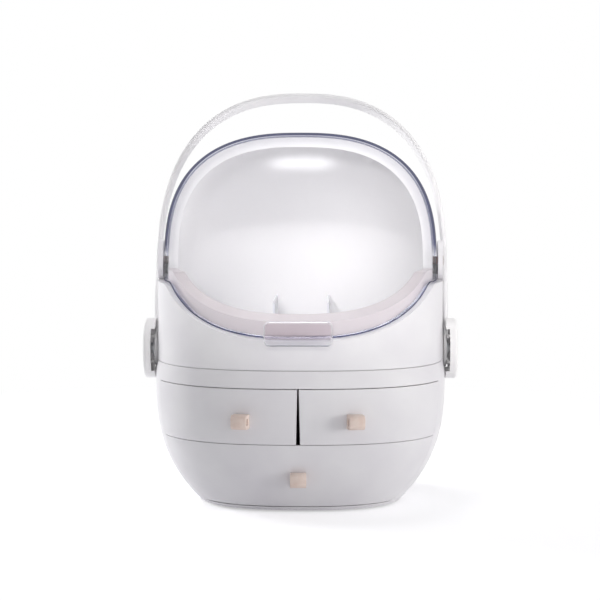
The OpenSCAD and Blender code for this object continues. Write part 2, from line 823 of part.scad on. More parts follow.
lower_housing();
base_plate();
drawer_frame();
compartment_floor();
upper_housing();
dome_shell();
lid();
lid_pin_left();
lid_pin_right();
lid_pin_clips();
handle();
hub_cap_left();
hub_cap_right();
hub_plate_left();
hub_plate_right();
friction_washers();
retaining_washers();
pivot_screws();
pivot_nuts();
drawer_left();
drawer_right();
drawer_bottom();
pull_left();
pull_right();
pull_bottom();
pull_rivet_left();
pull_rivet_right();
pull_rivet_bottom();
rubber_feet();
base_screws();
housing_screws();
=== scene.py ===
"""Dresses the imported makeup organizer: mouldings, clear lid, leather pulls and studio."""

from __future__ import annotations

import logging
import math
from dataclasses import dataclass
from enum import Enum
from functools import cache, partial
from typing import Any, Callable, Sequence

import bmesh
import bpy
from mathutils import Matrix, Vector


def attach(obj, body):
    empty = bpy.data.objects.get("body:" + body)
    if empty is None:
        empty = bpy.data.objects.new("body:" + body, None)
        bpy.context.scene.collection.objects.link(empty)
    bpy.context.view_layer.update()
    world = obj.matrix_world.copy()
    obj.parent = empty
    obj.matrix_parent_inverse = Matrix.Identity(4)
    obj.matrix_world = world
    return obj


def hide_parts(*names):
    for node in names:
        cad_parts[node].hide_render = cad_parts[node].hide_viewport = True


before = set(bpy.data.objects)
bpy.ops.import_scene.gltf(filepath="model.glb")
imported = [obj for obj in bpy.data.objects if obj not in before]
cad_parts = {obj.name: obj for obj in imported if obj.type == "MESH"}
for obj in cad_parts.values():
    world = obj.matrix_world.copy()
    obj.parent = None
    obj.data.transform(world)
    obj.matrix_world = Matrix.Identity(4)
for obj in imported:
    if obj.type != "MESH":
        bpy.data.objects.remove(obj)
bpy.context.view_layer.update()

LOG = logging.getLogger("organizer")
MM = 0.001
Point = tuple[float, float, float]
Flat = tuple[float, float]
Colour = tuple[float, float, float, float]
Adder = Callable[..., bpy.types.Node]


# ---------------------------------------------------------------- outlines


def bent(value: float, power: float) -> float:
    """Raises the size of a value to a power and keeps its sign."""
    return math.copysign(abs(value) ** power, value)


def sind(angle: float) -> float:
    """Sine of an angle in degrees."""
    return math.sin(math.radians(angle))


def cosd(angle: float) -> float:
    """Cosine of an angle in degrees, exactly nought at the right angle."""
    return 0.0 if abs(abs(angle) - 90) < 1e-9 else math.cos(math.radians(angle))


def tand(angle: float) -> float:
    """Tangent of an angle in degrees."""
    return math.tan(math.radians(angle))


def outline_point(a: float, b: float, n: float, angle: float) -> Flat:
    """Finds a point on a superellipse.

    Args:
        a: Half width.
        b: Half depth.
        n: Roundness: 2 is an ellipse, more is squarer.
        angle: Place along the outline, in degrees.

    Returns:
        The point's two coordinates.
    """
    return a * bent(cosd(angle), 2 / n), b * bent(sind(angle), 2 / n)


def outline(a: float, b: float, n: float, sides: int) -> list[Flat]:
    """Lists the points of a whole superellipse, counter-clockwise."""
    return [outline_point(a, b, n, 360 * (i + 0.5) / sides) for i in range(sides)]


def circle(y: float, z: float, radius: float, sides: int = 96) -> list[Flat]:
    """Lists the points of a circle."""
    turns = [360 * i / sides for i in range(sides)]
    return [(y + radius * cosd(turn), z + radius * sind(turn)) for turn in turns]


def rounding(z: float, low: float, high: float, radius: float) -> float:
    """Works out how far a surface draws in near its top and bottom edges.

    Args:
        z: Height of the point.
        low: Height of the lower edge.
        high: Height of the upper edge.
        radius: Radius of both edges.

    Returns:
        The inset at that height.
    """
    gap = min(z - low, high - z)
    if gap >= radius:
        return 0.0
    return radius - math.sqrt(max(0.0, radius**2 - (radius - gap) ** 2))


def spread(low: float, high: float, steps: int, radius: float) -> list[float]:
    """Lists heights from low to high, closer together within a radius of both ends.

    Args:
        low: The lowest height.
        high: The highest height.
        steps: Steps between the rounded ends.
        radius: Radius of both ends' rounding.

    Returns:
        The heights, upward.
    """
    ends = [0.0, 0.05, 0.15, 0.3, 0.5, 0.75, 1.0] if radius else [0.0]
    bottom = [low + radius * e for e in ends]
    top = [high - radius * e for e in reversed(ends)]
    inner = high - low - 2 * radius
    middle = [low + radius + inner * i / steps for i in range(1, steps)]
    return bottom + middle + top


# ---------------------------------------------------------------- solids


WELD = 0.004  # points nearer to each other than this become one
TIP = 0.0005  # radius that stands for the point of a turned profile


class Joining(Enum):
    """The ways in which one solid acts on another."""

    LESS = "DIFFERENCE"
    MEET = "INTERSECT"
    WITH = "UNION"


class Solver(Enum):
    """What works a joining out.

    MANIFOLD is quick, and EXACT leaves the faces away from the cut as they are.
    """

    MANIFOLD = "MANIFOLD"
    EXACT = "EXACT"


def in_scene(name: str, data: bpy.types.ID) -> bpy.types.Object:
    """Makes an object of some data and links it to the scene.

    Args:
        name: The object's name.
        data: Its mesh, lamp or camera.

    Returns:
        The object.
    """
    thing = bpy.data.objects.new(name, data)
    bpy.context.scene.collection.objects.link(thing)
    return thing


@dataclass
class Solid:
    """A closed mesh in millimetres, in the frame's axes."""

    mesh: bpy.types.Mesh

    @classmethod
    def of(cls, points: Sequence[Point], faces: Sequence[Sequence[int]]) -> "Solid":
        """Makes a solid from points and faces, with its faces turned outward.

        Args:
            points: The corners.
            faces: The corners' numbers, face by face.

        Returns:
            The solid.
        """
        mesh = bpy.data.meshes.new("solid")
        mesh.from_pydata([tuple(p) for p in points], [], [tuple(f) for f in faces])
        work = bmesh.new()
        work.from_mesh(mesh)
        bmesh.ops.recalc_face_normals(work, faces=work.faces)
        work.to_mesh(mesh)
        work.free()
        return cls(mesh)

    def joined(self, other: "Solid", how: Joining, solver: Solver = Solver.MANIFOLD) -> "Solid":
        """Combines this solid with another.

        Args:
            other: The solid to combine with.
            how: What the other does to this one.
            solver: What works it out.

        Returns:
            The new solid.
        """
        host, tool = in_scene("host", self.mesh), in_scene("tool", other.mesh)
        modifier = host.modifiers.new("join", "BOOLEAN")
        modifier.operation = how.value
        modifier.object = tool
        modifier.solver = solver.value
        graph = bpy.context.evaluated_depsgraph_get()
        result = bpy.data.meshes.new_from_object(host.evaluated_get(graph), depsgraph=graph)
        for thing in (host, tool):
            bpy.data.objects.remove(thing)
        return Solid(result)

    def __sub__(self, other: "Solid") -> "Solid":
        """Cuts the other solid out of this one."""
        return self.joined(other, Joining.LESS)

    def __and__(self, other: "Solid") -> "Solid":
        """Keeps what this solid and the other share."""
        return self.joined(other, Joining.MEET)

    def __or__(self, other: "Solid") -> "Solid":
        """Fuses this solid with the other."""
        return self.joined(other, Joining.WITH)

    def moved(self, matrix: Matrix) -> "Solid":
        """Moves a copy of this solid.

        Args:
            matrix: The move, in millimetres.

        Returns:
            The moved copy.
        """
        mesh = self.mesh.copy()
        mesh.transform(matrix)
        if matrix.determinant() < 0:
            mesh.flip_normals()
        return Solid(mesh)

    def placed(self, name: str, sharp: float = 38.0) -> bpy.types.Object:
        """Turns the solid into an object of the scene, in metres.

        Args:
            name: The object's name.
            sharp: Angle in degrees above which an edge stays sharp in shading.

        Returns:
            The object.
        """
        mesh = self.mesh.copy()
        mesh.name = name
        work = bmesh.new()
        work.from_mesh(mesh)
        bmesh.ops.remove_doubles(work, verts=work.verts, dist=WELD)
        bmesh.ops.dissolve_degenerate(work, edges=work.edges, dist=WELD / 2)
        work.to_mesh(mesh)
        work.free()
        mesh.transform(Matrix.Scale(MM, 4))
        mesh.shade_smooth()
        mesh.set_sharp_from_angle(angle=math.radians(sharp))
        return in_scene(name, mesh)


def loft(rings: Sequence[Sequence[Point]]) -> Solid:
    """Closes a stack of rings of points into a solid.

    Args:
        rings: The rings, each with the same number of points.

    Returns:
        The solid, capped at both ends.
    """
    n, m = len(rings[0]), len(rings)
    points = [p for ring in rings for p in ring]
    faces: list[tuple[int, ...]] = []
    for j in range(m - 1):
        for i in range(n):
            k = (i + 1) % n
            faces.append((j * n + i, j * n + k, (j + 1) * n + k, (j + 1) * n + i))
    faces.append(tuple(reversed(range(n))))
    faces.append(tuple((m - 1) * n + i for i in range(n)))
    return Solid.of(points, faces)


def upright(points: Sequence[Flat], low: float, high: float) -> Solid:
    """Pushes a plan up from one height to another."""
    return loft([[(x, y, z) for x, y in points] for z in (low, high)])


def sideways(points: Sequence[Flat], low: float, high: float) -> Solid:
    """Pushes a side view, given as depth and height, from one X to another."""
    return loft([[(x, y, z) for y, z in points] for x in (low, high)])


def endways(points: Sequence[Flat], low: float, high: float) -> Solid:
    """Pushes a front view, given as X and height, from one Y to another."""
    return loft([[(x, y, z) for x, z in points] for y in (low, high)])


def block(low: Point, high: Point) -> Solid:
    """Makes a cutting block between two corners."""
    (x0, y0, z0), (x1, y1, z1) = low, high
    return upright([(x0, y0), (x1, y0), (x1, y1), (x0, y1)], z0, z1)


def post(place: Flat, radius: float, low: float, high: float, sides: int = 24) -> Solid:
    """Makes an upright round post at a place in plan."""
    return upright(circle(*place, radius, sides), low, high)


def turned(profile: Sequence[Flat], sides: int = 96) -> Solid:
    """Turns a profile of radius and place along the X axis, which it starts and ends on.

    Args:
        profile: Pairs of radius and X.
        sides: Steps round the axis.

    Returns:
        The turned solid.
    """
    turns = [360 * i / sides for i in range(sides)]
    rings = []
    for radius, x in profile:
        r = max(radius, TIP)
        rings.append([(x, r * cosd(turn), r * sind(turn)) for turn in turns])
    return loft(rings)


def bar_x(low: float, high: float, radius: float, y: float, z: float, sides: int = 64) -> Solid:
    """Makes a round bar along X at a given depth and height."""
    bar = turned([(radius, low), (radius, high)], sides)
    return bar.moved(Matrix.Translation((0, y, z)))


def mirrored(solid: Solid) -> Solid:
    """Mirrors a solid from the right to the left."""
    return solid.moved(Matrix.Scale(-1, 4, (1, 0, 0)))


# ---------------------------------------------------------------- the organizer's forms


ASIDE = 130.0  # past the organizer's sides
FRONT = -140.0  # before its front
ABOVE = 320.0  # over its top
REACH = 150.0  # past all its walls, for blocks


@dataclass
class CabinetForm:
    """The swelling form that the cabinet and the drawer fronts share."""

    width: float = 220.0
    depth: float = 203.0
    height: float = 108.0
    foot_width: float = 154.0
    foot_depth: float = 140.0
    foot: float = 1.5
    swelling: float = 2.8
    drawer_top: float = 95.0
    box_width: float = 216.4
    box_depth: float = 197.0
    roundness: float = 2.5
    front_cut: float = 47.0
    sides: int = 240

    def _size(self, z: float, foot: float, full: float, box: float) -> float:
        """Works out half of the form's width or depth at a height.

        Args:
            z: The height.
            foot: The size at the foot.
            full: The size where the form is widest.
            box: The size at the top, where the upper box stands on it.

        Returns:
            Half of the size at that height.
        """
        swell, tuck = 1.0, 0.0
        if z < self.drawer_top:
            swell = 1 - ((self.drawer_top - z) / (self.drawer_top - self.foot)) ** self.swelling
        if z > self.drawer_top:
            tuck = ((z - self.drawer_top) / (self.height - self.drawer_top)) ** 2
        return foot / 2 + (full - foot) / 2 * swell - (full - box) / 2 * tuck

    def half_width(self, z: float) -> float:
        """Half width at a height."""
        return self._size(z, self.foot_width, self.width, self.box_width)

    def half_depth(self, z: float) -> float:
        """Half depth at a height."""
        return self._size(z, self.foot_depth, self.depth, self.box_depth)

    def mouth(self, z: float, inset: float) -> float:
        """Half width of the front mouth at a height, inside a wall."""
        a, b = self.half_width(z) - inset, self.half_depth(z) - inset
        return a * (1 - (self.front_cut / b) ** self.roundness) ** (1 / self.roundness)

    def front_y(self, x: float, z: float) -> float:
        """Depth of the front face at a distance from the middle and a height."""
        share = 1 - (abs(x) / self.half_width(z)) ** self.roundness
        return -self.half_depth(z) * share ** (1 / self.roundness)

    def solid(
        self, low: float, high: float, inset: float, steps: int, radius: float = 0.0
    ) -> Solid:
        """Makes the form between two heights.

        Args:
            low: Height of the lower end.
            high: Height of the upper end.
            inset: Distance inside the outer face.
            steps: Steps from end to end.
            radius: Rounding of both ends' edges.

        Returns:
            The solid.
        """
        rings = []
        for z in spread(low, high, steps, radius):
            draw = inset + rounding(z, low, high, radius)
            a, b = self.half_width(z) - draw, self.half_depth(z) - draw
            rings.append([(x, y, z) for x, y in outline(a, b, self.roundness, self.sides)])
        return loft(rings)

    def bow(
        self, low: float, high: float, inset: float, cut: float, steps: int, radius: float = 0.0
    ) -> Solid:
        """Makes the part of the form in front of an upright plane.

        Args:
            low: Height of the lower end.
            high: Height of the upper end.
            inset: Distance inside the outer face.
            cut: Distance of the plane in front of the middle.
            steps: Steps from end to end.
            radius: Rounding of both ends' edges.

        Returns:
            The solid.
        """
        rings = []
        turns = self.sides // 2
        for z in spread(low, high, steps, radius):
            draw = inset + rounding(z, low, high, radius)
            a, b = self.half_width(z) - draw, self.half_depth(z) - draw
            start = math.degrees(math.asin((cut / b) ** (self.roundness / 2)))
            ring = []
            for i in range(turns + 1):
                turn = 180 + start + (180 - 2 * start) * i / turns
                x, y = outline_point(a, b, self.roundness, turn)
                ring.append((x, y, z))
            rings.append(ring)
        return loft(rings)


@dataclass
class DomeForm:
    """The form that the lid and the dome share: turned about the pivots, upright below them."""

    half_width: float
    radius: float
    pivot: float = 182.0
    roundness: float = 2.6
    smallest: float = 0.02
    across: int = 132
    over: int = 84
    down: int = 6
    on_face: float = 0.006

    def solid(self, base: float, inset: float = 0.0) -> Solid:
        """Makes the form down to a base.

        Args:
            base: Height of the flat bottom.
            inset: Distance inside the outer face.

        Returns:
            The solid.
        """
        a, r, drop = self.half_width - inset, self.radius - inset, self.pivot - base
        rings = []
        for i in range(self.across + 1):
            # the rings stand closer together towards both sides, where the form turns in
            u = 2 * i / self.across - 1
            s = math.copysign(90 * (1 - (1 - abs(u)) ** 1.5), u)
            x = a * bent(sind(s), 2 / self.roundness)
            rad = max(r * cosd(s) ** (2 / self.roundness), self.smallest)
            ring = [(x, rad, base + drop * j / self.down) for j in range(self.down)]
            for j in range(self.over + 1):
                turn = 180 * j / self.over
                ring.append((x, rad * cosd(turn), self.pivot + rad * sind(turn)))
            ring += [(x, -rad, self.pivot - drop * j / self.down) for j in range(1, self.down + 1)]
            rings.append(ring)
        return loft(rings)

    def holds(self, place: Vector, inset: float) -> bool:
        """Tells whether a point lies on the form's face.

        Args:
            place: The point, in metres.
            inset: How far the face is drawn in.

        Returns:
            True where it does.
        """
        x, y, z = (c / MM for c in place)
        out = math.hypot(y, max(z - self.pivot, 0.0)) / (self.radius - inset)
        across = abs(x) / (self.half_width - inset)
        return abs(across**self.roundness + out**self.roundness - 1) < self.on_face


@dataclass
class EdgePath:
    """An edge that slopes up from the front and bends to level beside the pivots, in side view."""

    front: float
    slope: float
    level: float
    bend: float = 14.0
    radius: float = 97.0
    steps: int = 16

    def points(self, rise: float) -> list[Flat]:
        """Lists the edge's points from front to back, moved square to itself by a rise.

        Args:
            rise: How far it is moved up.

        Returns:
            Pairs of depth and height, up to the end of the bend.
        """
        lean = tand(self.slope)
        r = self.bend + rise
        z = self.level - self.bend
        y = (z + self.bend / cosd(self.slope) - self.front) / lean - self.radius
        path = [(FRONT, self.front + lean * (self.radius + FRONT) + rise / cosd(self.slope))]
        for i in range(self.steps, -1, -1):
            turn = self.slope * i / self.steps
            path.append((y - r * sind(turn), z + r * cosd(turn)))
        return path


CABINET = CabinetForm()
DOME = DomeForm(half_width=100.4, radius=93.9)
LID = DomeForm(half_width=103.5, radius=97.0)
LID_EDGE = EdgePath(front=131.0, slope=38.6, level=168.3)
RIM_EDGE = EdgePath(front=140.7, slope=35.4, level=176.5)
PIVOT = 182.0  # height of the lid's pins
HUB = 114.5  # height of the handle's hubs
LEAN = 28.0  # how far the handle stands back, in degrees
WALL = 2.6  # thickness of the outer walls
SUNK = 1.0  # how deep an inner part runs into the wall that it is joined to
INSIDE = 90.0  # where the holes through the side walls start
SEAT_FROM = 106.7  # where the hub plates' seats start
SEAT_RADIUS = 17.1
HUB_HOLE = 7.1  # radius of the holes behind the hub plates
PAD: Flat = (104.2, 107.6)  # where the pads behind the hub plates start and end
PAD_RADIUS = 19.0
THROUGH = 20.0  # over the base plate, for the holes through it


# ---------------------------------------------------------------- finishes


def linear(hex_colour: str) -> Colour:
    """Turns an sRGB hex value to a linear colour.

    Args:
        hex_colour: Six hex digits after a hash.

    Returns:
        The linear colour, opaque.
    """
    digits = hex_colour.lstrip("#")
    parts = []
    for i in (0, 2, 4):
        v = int(digits[i : i + 2], 16) / 255
        parts.append(v / 12.92 if v <= 0.04045 else ((v + 0.055) / 1.055) ** 2.4)
    return parts[0], parts[1], parts[2], 1.0


def add_node(
    tree: bpy.types.NodeTree,
    kind: str,
    inputs: dict[Any, Any] | None = None,
    stops: Sequence[tuple[float, str]] = (),
    **settings: Any,
) -> bpy.types.Node:
    """Adds one node with its settings, and sets or links its inputs.

    Args:
        tree: The node tree.
        kind: The node's type, without the part that all shader nodes share.
        inputs: Values, or sockets to link from, by input name or number.
        stops: A colour ramp's places and hex colours, in order.
        **settings: The node's own properties.

    Returns:
        The node.
    """
    node = tree.nodes.new("ShaderNode" + kind)
    for name, value in settings.items():
        setattr(node, name, value)
    for i, (at, colour) in enumerate(stops):
        ramp = node.color_ramp.elements
        stop = ramp[i] if i < 2 else ramp.new(at)
        stop.position, stop.color = at, linear(colour)
    for key, value in (inputs or {}).items():
        socket = node.inputs[key]
        if isinstance(value, bpy.types.NodeSocket):
            tree.links.new(value, socket)
        else:
            socket.default_value = value
    return node


def new_material(name: str) -> tuple[bpy.types.Material, Adder]:
    """Makes an empty node material.

    Args:
        name: The material's name.

    Returns:
        The material, and add_node for its tree.
    """
    material = bpy.data.materials.new(name)
    material.use_nodes = True
    material.node_tree.nodes.clear()
    return material, partial(add_node, material.node_tree)


def per_mm(size: float) -> float:
    """Gives the scale of a pattern whose features are some millimetres apart."""
    return 1 / (size * MM)


@dataclass(frozen=True)
class MouldedPlastic:
    """Injection-moulded ABS with a fine satin: soft sheen, faint mottle, handling marks."""

    name: str = "moulded_abs_white"
    colour: str = "#EFEEF0"
    shade: str = "#E6E4E8"
    roughness: float = 0.34
    ior: float = 1.54
    grit_mm: float = 0.9
    grit_depth: float = 0.2
    marks_mm: float = 18.0
    mottle_mm: float = 45.0
    bump: float = 0.02
    edge_mm: float = 0.35
    wear: float = 0.065

    def build(self) -> bpy.types.Material:
        """Builds the material.

        Returns:
            The material.
        """
        material, add = new_material(self.name)
        place = add("TexCoord").outputs["Object"]
        mottle = add("TexNoise", {"Vector": place, "Scale": per_mm(self.mottle_mm), "Detail": 3.0})
        tones = ((0.3, self.shade), (0.72, self.colour))
        tone = add("ValToRGB", {0: mottle.outputs["Fac"]}, tones)
        # handling marks: broad patches where the satin is a little polished
        patches = {"Vector": place, "Scale": per_mm(self.marks_mm), "Detail": 5.0}
        marks = add("TexNoise", patches | {"Roughness": 0.62})
        spans = {"From Min": 0.3, "From Max": 0.7}
        spans |= {"To Min": self.roughness - self.wear, "To Max": self.roughness + self.wear}
        rough = add("MapRange", {"Value": marks.outputs["Fac"]} | spans)
        # the satin's grit is finer than a pixel, so it is drawn coarser and very shallow
        grit = add("TexNoise", {"Vector": place, "Scale": per_mm(self.grit_mm), "Detail": 2.0})
        depth = self.grit_depth * MM
        relief = {"Height": grit.outputs["Fac"], "Strength": self.bump, "Distance": depth}
        if self.edge_mm > 0:
            soft = add("Bevel", {"Radius": self.edge_mm * MM}, samples=4)
            relief["Normal"] = soft.outputs["Normal"]
        surface = {
            "Base Color": tone.outputs["Color"],
            "Roughness": rough.outputs["Result"],
            "Normal": add("Bump", relief).outputs["Normal"],
            "IOR": self.ior,
        }
        add("OutputMaterial", {"Surface": add("BsdfPrincipled", surface).outputs[0]})
        return material


@dataclass(frozen=True)
class ClearPlastic:
    """Polished clear SAN: clear face on, grey and then navy where the wall is seen edge on."""

    name: str = "clear_san"
    clear: str = "#FEFEFF"
    grey: str = "#F4F4F6"
    deep: str = "#3E4474"
    hidden: str = "#FBFBFC"
    clear_until: float = 0.56
    grey_from: float = 0.7
    deep_from: float = 0.775
    deepening: float = 0.04
    line: str = "#5A5F88"
    line_slope: float = LID_EDGE.slope
    line_from: float = LID_EDGE.front
    line_level: float = LID_EDGE.level
    line_mm: float = 0.72
    line_blur: float = 0.12
    line_gap: float = 24.8
    fade_low: float = 0.187
    fade_high: float = 0.196
    haze_mm: float = 30.0
    roughness: float = 0.22
    reflects: float = 0.035
    reflects_edge_on: float = 0.2
    reflects_power: float = 5.0
    gloss: Colour = (0.98, 0.98, 1.0, 1.0)

    def _line(self, add: Adder, place: bpy.types.NodeSocket, axes: Any) -> bpy.types.NodeSocket:
        """Works out where the cut corner along the lower edge gathers the tint into a thin line.

        Args:
            add: Adds a node to the material.
            place: The point that is shaded.
            axes: That point's X, Y and Z.

        Returns:
            A socket that is nought on the line and one elsewhere.
        """
        square = (0.0, -sind(self.line_slope), cosd(self.line_slope))
        foot = (self.line_from + tand(self.line_slope) * LID.radius) * cosd(self.line_slope)
        rise = add("VectorMath", {0: place, 1: square}, operation="DOT_PRODUCT")
        from_slope = add("Math", {0: rise.outputs["Value"], 1: foot * MM}, operation="SUBTRACT")
        from_level = add("Math", {0: axes["Z"], 1: self.line_level * MM}, operation="SUBTRACT")
        heights = {0: from_slope.outputs[0], 1: from_level.outputs[0]}
        height = add("Math", heights, operation="MAXIMUM")
        low, high = (self.line_mm - self.line_blur) * MM, (self.line_mm + self.line_blur) * MM
        lip = add("MapRange", {"Value": height.outputs[0], "From Min": low, "From Max": high})
        aside = add("Math", {0: axes["X"]}, operation="ABSOLUTE")
        gap = add("Math", {0: aside.outputs[0], 1: self.line_gap * MM}, operation="LESS_THAN")
        off = add("Math", {0: lip.outputs["Result"], 1: gap.outputs[0]}, operation="MAXIMUM")
        return off.outputs[0]

    def build(self) -> bpy.types.Material:
        """Builds the material.

        Returns:
            The material.
        """
        material, add = new_material(self.name)
        place = add("TexCoord").outputs["Object"]
        facing = add("LayerWeight", {"Blend": 0.5}).outputs["Facing"]
        tints = ((self.clear_until, self.clear), (self.grey_from, self.grey))
        tints += ((self.deep_from, self.grey), (self.deep_from + self.deepening, self.deep))
        tint = add("ValToRGB", {0: facing}, tints).outputs["Color"]
        # beside the pivots the wall lies between the cheek and the dome, where little tint shows
        axes = add("SeparateXYZ", {0: place}).outputs
        fade = {"From Min": self.fade_low, "From Max": self.fade_high, "To Min": 1.0, "To Max": 0.0}
        below = add("MapRange", {"Value": axes["Z"]} | fade)
        parts = {"Factor": below.outputs["Result"], 6: tint, 7: linear(self.hidden)}
        depth = add("Mix", parts, data_type="RGBA", blend_type="LIGHTEN")
        parts = {"Factor": self._line(add, place, axes), 6: linear(self.line), 7: depth.outputs[2]}
        sheet = add("BsdfTransparent", {"Color": add("Mix", parts, data_type="RGBA").outputs[2]})
        # handling haze: faint patches of fine scratches
        haze = add("TexNoise", {"Vector": place, "Scale": per_mm(self.haze_mm), "Detail": 4.0})
        spans = {"From Min": 0.35, "From Max": 0.75}
        spans |= {"To Min": self.roughness, "To Max": self.roughness + 0.05}
        rough = add("MapRange", {"Value": haze.outputs["Fac"]} | spans)
        polish = {"Roughness": rough.outputs["Result"], "Color": self.gloss}
        gloss = add("BsdfGlossy", polish)
        grazing = add("Math", {0: facing, 1: self.reflects_power}, operation="POWER")
        spans = {"To Min": self.reflects, "To Max": self.reflects_edge_on}
        share = add("MapRange", {"Value": grazing.outputs[0]} | spans)
        both = {0: share.outputs["Result"], 1: sheet.outputs[0], 2: gloss.outputs[0]}
        mix = add("MixShader", both)
        add("OutputMaterial", {"Surface": mix.outputs[0]})
        return material


@dataclass(frozen=True)
class ClearGrip(ClearPlastic):
    """The lid's thick grip: faintly tinted, with bright rounded edges and a line along its foot."""

    name: str = "clear_san_grip"
    clear: str = "#F3EFF2"
    grey: str = "#F8F6F8"
    deep: str = "#A8AABE"
    clear_until: float = 0.05
    grey_from: float = 0.25
    deep_from: float = 0.8
    line_slope: float = 0.0
    line_from: float = 126.0
    line_level: float = 400.0
    line_mm: float = 0.75
    line_gap: float = 0.0
    fade_low: float = 0.1306
    fade_high: float = 0.1314
    roughness: float = 0.3
    reflects_edge_on: float = 0.9
    reflects_power: float = 0.9


@dataclass(frozen=True)
class ClearEdge:
    """The clear lid's cut edge: a deep line along its outer corner, which fades to clear inside."""

    name: str = "clear_san_cut_edge"
    colour: str = "#B6B8CA"
    clear: str = "#EDEDF2"
    line: float = 0.42
    line_blur: float = 0.1
    wave_mm: float = 6.0
    roughness: float = 0.12
    reflects: float = 0.12

    def build(self) -> bpy.types.Material:
        """Builds the material.

        Returns:
            The material.
        """
        material, add = new_material(self.name)
        place = add("TexCoord").outputs["Object"]
        wave = add("TexNoise", {"Vector": place, "Scale": per_mm(self.wave_mm), "Detail": 2.0})
        spans = {"To Min": self.roughness - 0.05, "To Max": self.roughness + 0.1}
        rough = add("MapRange", {"Value": wave.outputs["Fac"]} | spans)
        depth = add("Attribute", attribute_name="depth")
        low, high = self.line - self.line_blur, self.line + self.line_blur
        tints = ((low, self.colour), (high, self.clear))
        tint = add("ValToRGB", {0: depth.outputs["Fac"]}, tints)
        sheet = add("BsdfTransparent", {"Color": tint.outputs["Color"]})
        gloss = add("BsdfGlossy", {"Roughness": rough.outputs["Result"]})
        mix = add("MixShader", {0: self.reflects, 1: sheet.outputs[0], 2: gloss.outputs[0]})
        add("OutputMaterial", {"Surface": mix.outputs[0]})
        return material


@dataclass(frozen=True)
class Leather:
    """Smooth finished leather: fine pebble grain, soft sheen, slight change of tone."""

    name: str = "peach_leather"
    colour: str = "#F1E0D6"
    shade: str = "#E9D3C7"
    roughness: float = 0.52
    ior: float = 1.5
    sheen: float = 0.15
    tone_mm: float = 5.0
    grain_mm: float = 0.7
    grain_depth: float = 0.1
    bump: float = 0.35

    def build(self) -> bpy.types.Material:
        """Builds the material.

        Returns:
            The material.
        """
        material, add = new_material(self.name)
        place = add("TexCoord").outputs["Object"]
        cloud = add("TexNoise", {"Vector": place, "Scale": per_mm(self.tone_mm), "Detail": 4.0})
        tone = add("ValToRGB", {0: cloud.outputs["Fac"]}, ((0.3, self.shade), (0.7, self.colour)))
        grain = add("TexVoronoi", {"Vector": place, "Scale": per_mm(self.grain_mm)})
        pebble = grain.outputs["Distance"]
        relief = {"Height": pebble, "Strength": self.bump, "Distance": self.grain_depth * MM}
        spans = {"To Min": self.roughness - 0.08, "To Max": self.roughness + 0.1}
        surface = {
            "Base Color": tone.outputs["Color"],
            "Roughness": add("MapRange", {"Value": pebble} | spans).outputs["Result"],
            "Normal": add("Bump", relief).outputs["Normal"],
            "Sheen Weight": self.sheen,
            "IOR": self.ior,
        }
        add("OutputMaterial", {"Surface": add("BsdfPrincipled", surface).outputs[0]})
        return material


@dataclass(frozen=True)
class SmallPart:
    """Small fixings and rubber: one colour with a fine mottle and its own gloss."""

    name: str
    colour: str
    roughness: float
    metallic: float = 0.0
    grain_mm: float = 1.2
    grain_depth: float = 0.1
    bump: float = 0.1
    darkest: float = 0.8

    def build(self) -> bpy.types.Material:
        """Builds the material.

        Returns:
            The material.
        """
        material, add = new_material(self.name)
        place = add("TexCoord").outputs["Object"]
        grain = add("TexNoise", {"Vector": place, "Scale": per_mm(self.grain_mm), "Detail": 4.0})
        noise = grain.outputs["Fac"]
        base = linear(self.colour)
        dark = (base[0] * self.darkest, base[1] * self.darkest, base[2] * self.darkest, 1.0)
        spans = {"To Min": self.roughness - 0.08, "To Max": self.roughness + 0.1}
        relief = {"Height": noise, "Strength": self.bump, "Distance": self.grain_depth * MM}
        surface = {
            "Base Color": add("Mix", {0: noise, 6: dark, 7: base}, data_type="RGBA").outputs[2],
            "Roughness": add("MapRange", {"Value": noise} | spans).outputs["Result"],
            "Normal": add("Bump", relief).outputs["Normal"],
            "Metallic": self.metallic,
        }
        add("OutputMaterial", {"Surface": add("BsdfPrincipled", surface).outputs[0]})
        return material


class Finish(Enum):
    """The organizer's finishes."""

    WHITE = MouldedPlastic()
    # painted light: a lighter white that brightens the dome's inside, its upper rim and the hub
    # caps; only the lower roughness is the real gloss
    GLOSS_WHITE_PAINTED_LIGHT = MouldedPlastic(
        "moulded_abs_gloss_white_painted_light", "#FBFAFA", "#F8F7F7", roughness=0.3, wear=0.02
    )
    # painted shade: a warm grey for the dome's front band below the opening
    RIM_BAND_PAINTED_SHADE = MouldedPlastic("moulded_abs_band_painted_shade", "#E6DEDF", "#DFD7D9")
    # painted shade: a darker warm grey for the sloping top of the rim
    RIM_TOP_PAINTED_SHADE = MouldedPlastic("moulded_abs_rim_top_painted_shade", "#D6CDCE", "#CFC6C8")
    HANDLE_WHITE = MouldedPlastic(
        "moulded_abs_plain_white", "#F3F2F3", "#EFEEF0", bump=0.0006, edge_mm=0.0
    )
    SMOKE = MouldedPlastic("moulded_ps_pale_smoke", "#F4F4F8", "#F0F0F5", roughness=0.25, wear=0.02)
    CLEAR = ClearPlastic()
    CLEAR_INSIDE = ClearPlastic(
        "clear_san_inside", grey="#F6F6F8", deep="#8A8CA6", deep_from=0.83, line_from=90.0
    )
    CLEAR_GRIP = ClearGrip()
    CLEAR_EDGE = ClearEdge()
    LEATHER = Leather()
    BROWN = SmallPart("moulded_nylon_brown", "#8A6A5C", 0.4)
    ZINC = SmallPart("zinc_plated_steel", "#C9CBCE", 0.32, 1.0)
    RUBBER = SmallPart("moulded_rubber_grey", "#4A4A4D", 0.7)


@cache
def material_of(finish: Finish) -> bpy.types.Material:
    """Builds a finish's material, once."""
    return finish.value.build()


def dress(thing: bpy.types.Object, finish: Finish) -> None:
    """Gives an object one finish.

    Args:
        thing: The object.
        finish: Its finish.
    """
    if not thing.data.materials:
        thing.data.materials.append(None)
    for slot in thing.material_slots:
        slot.material = material_of(finish)


# ---------------------------------------------------------------- sub-assemblies


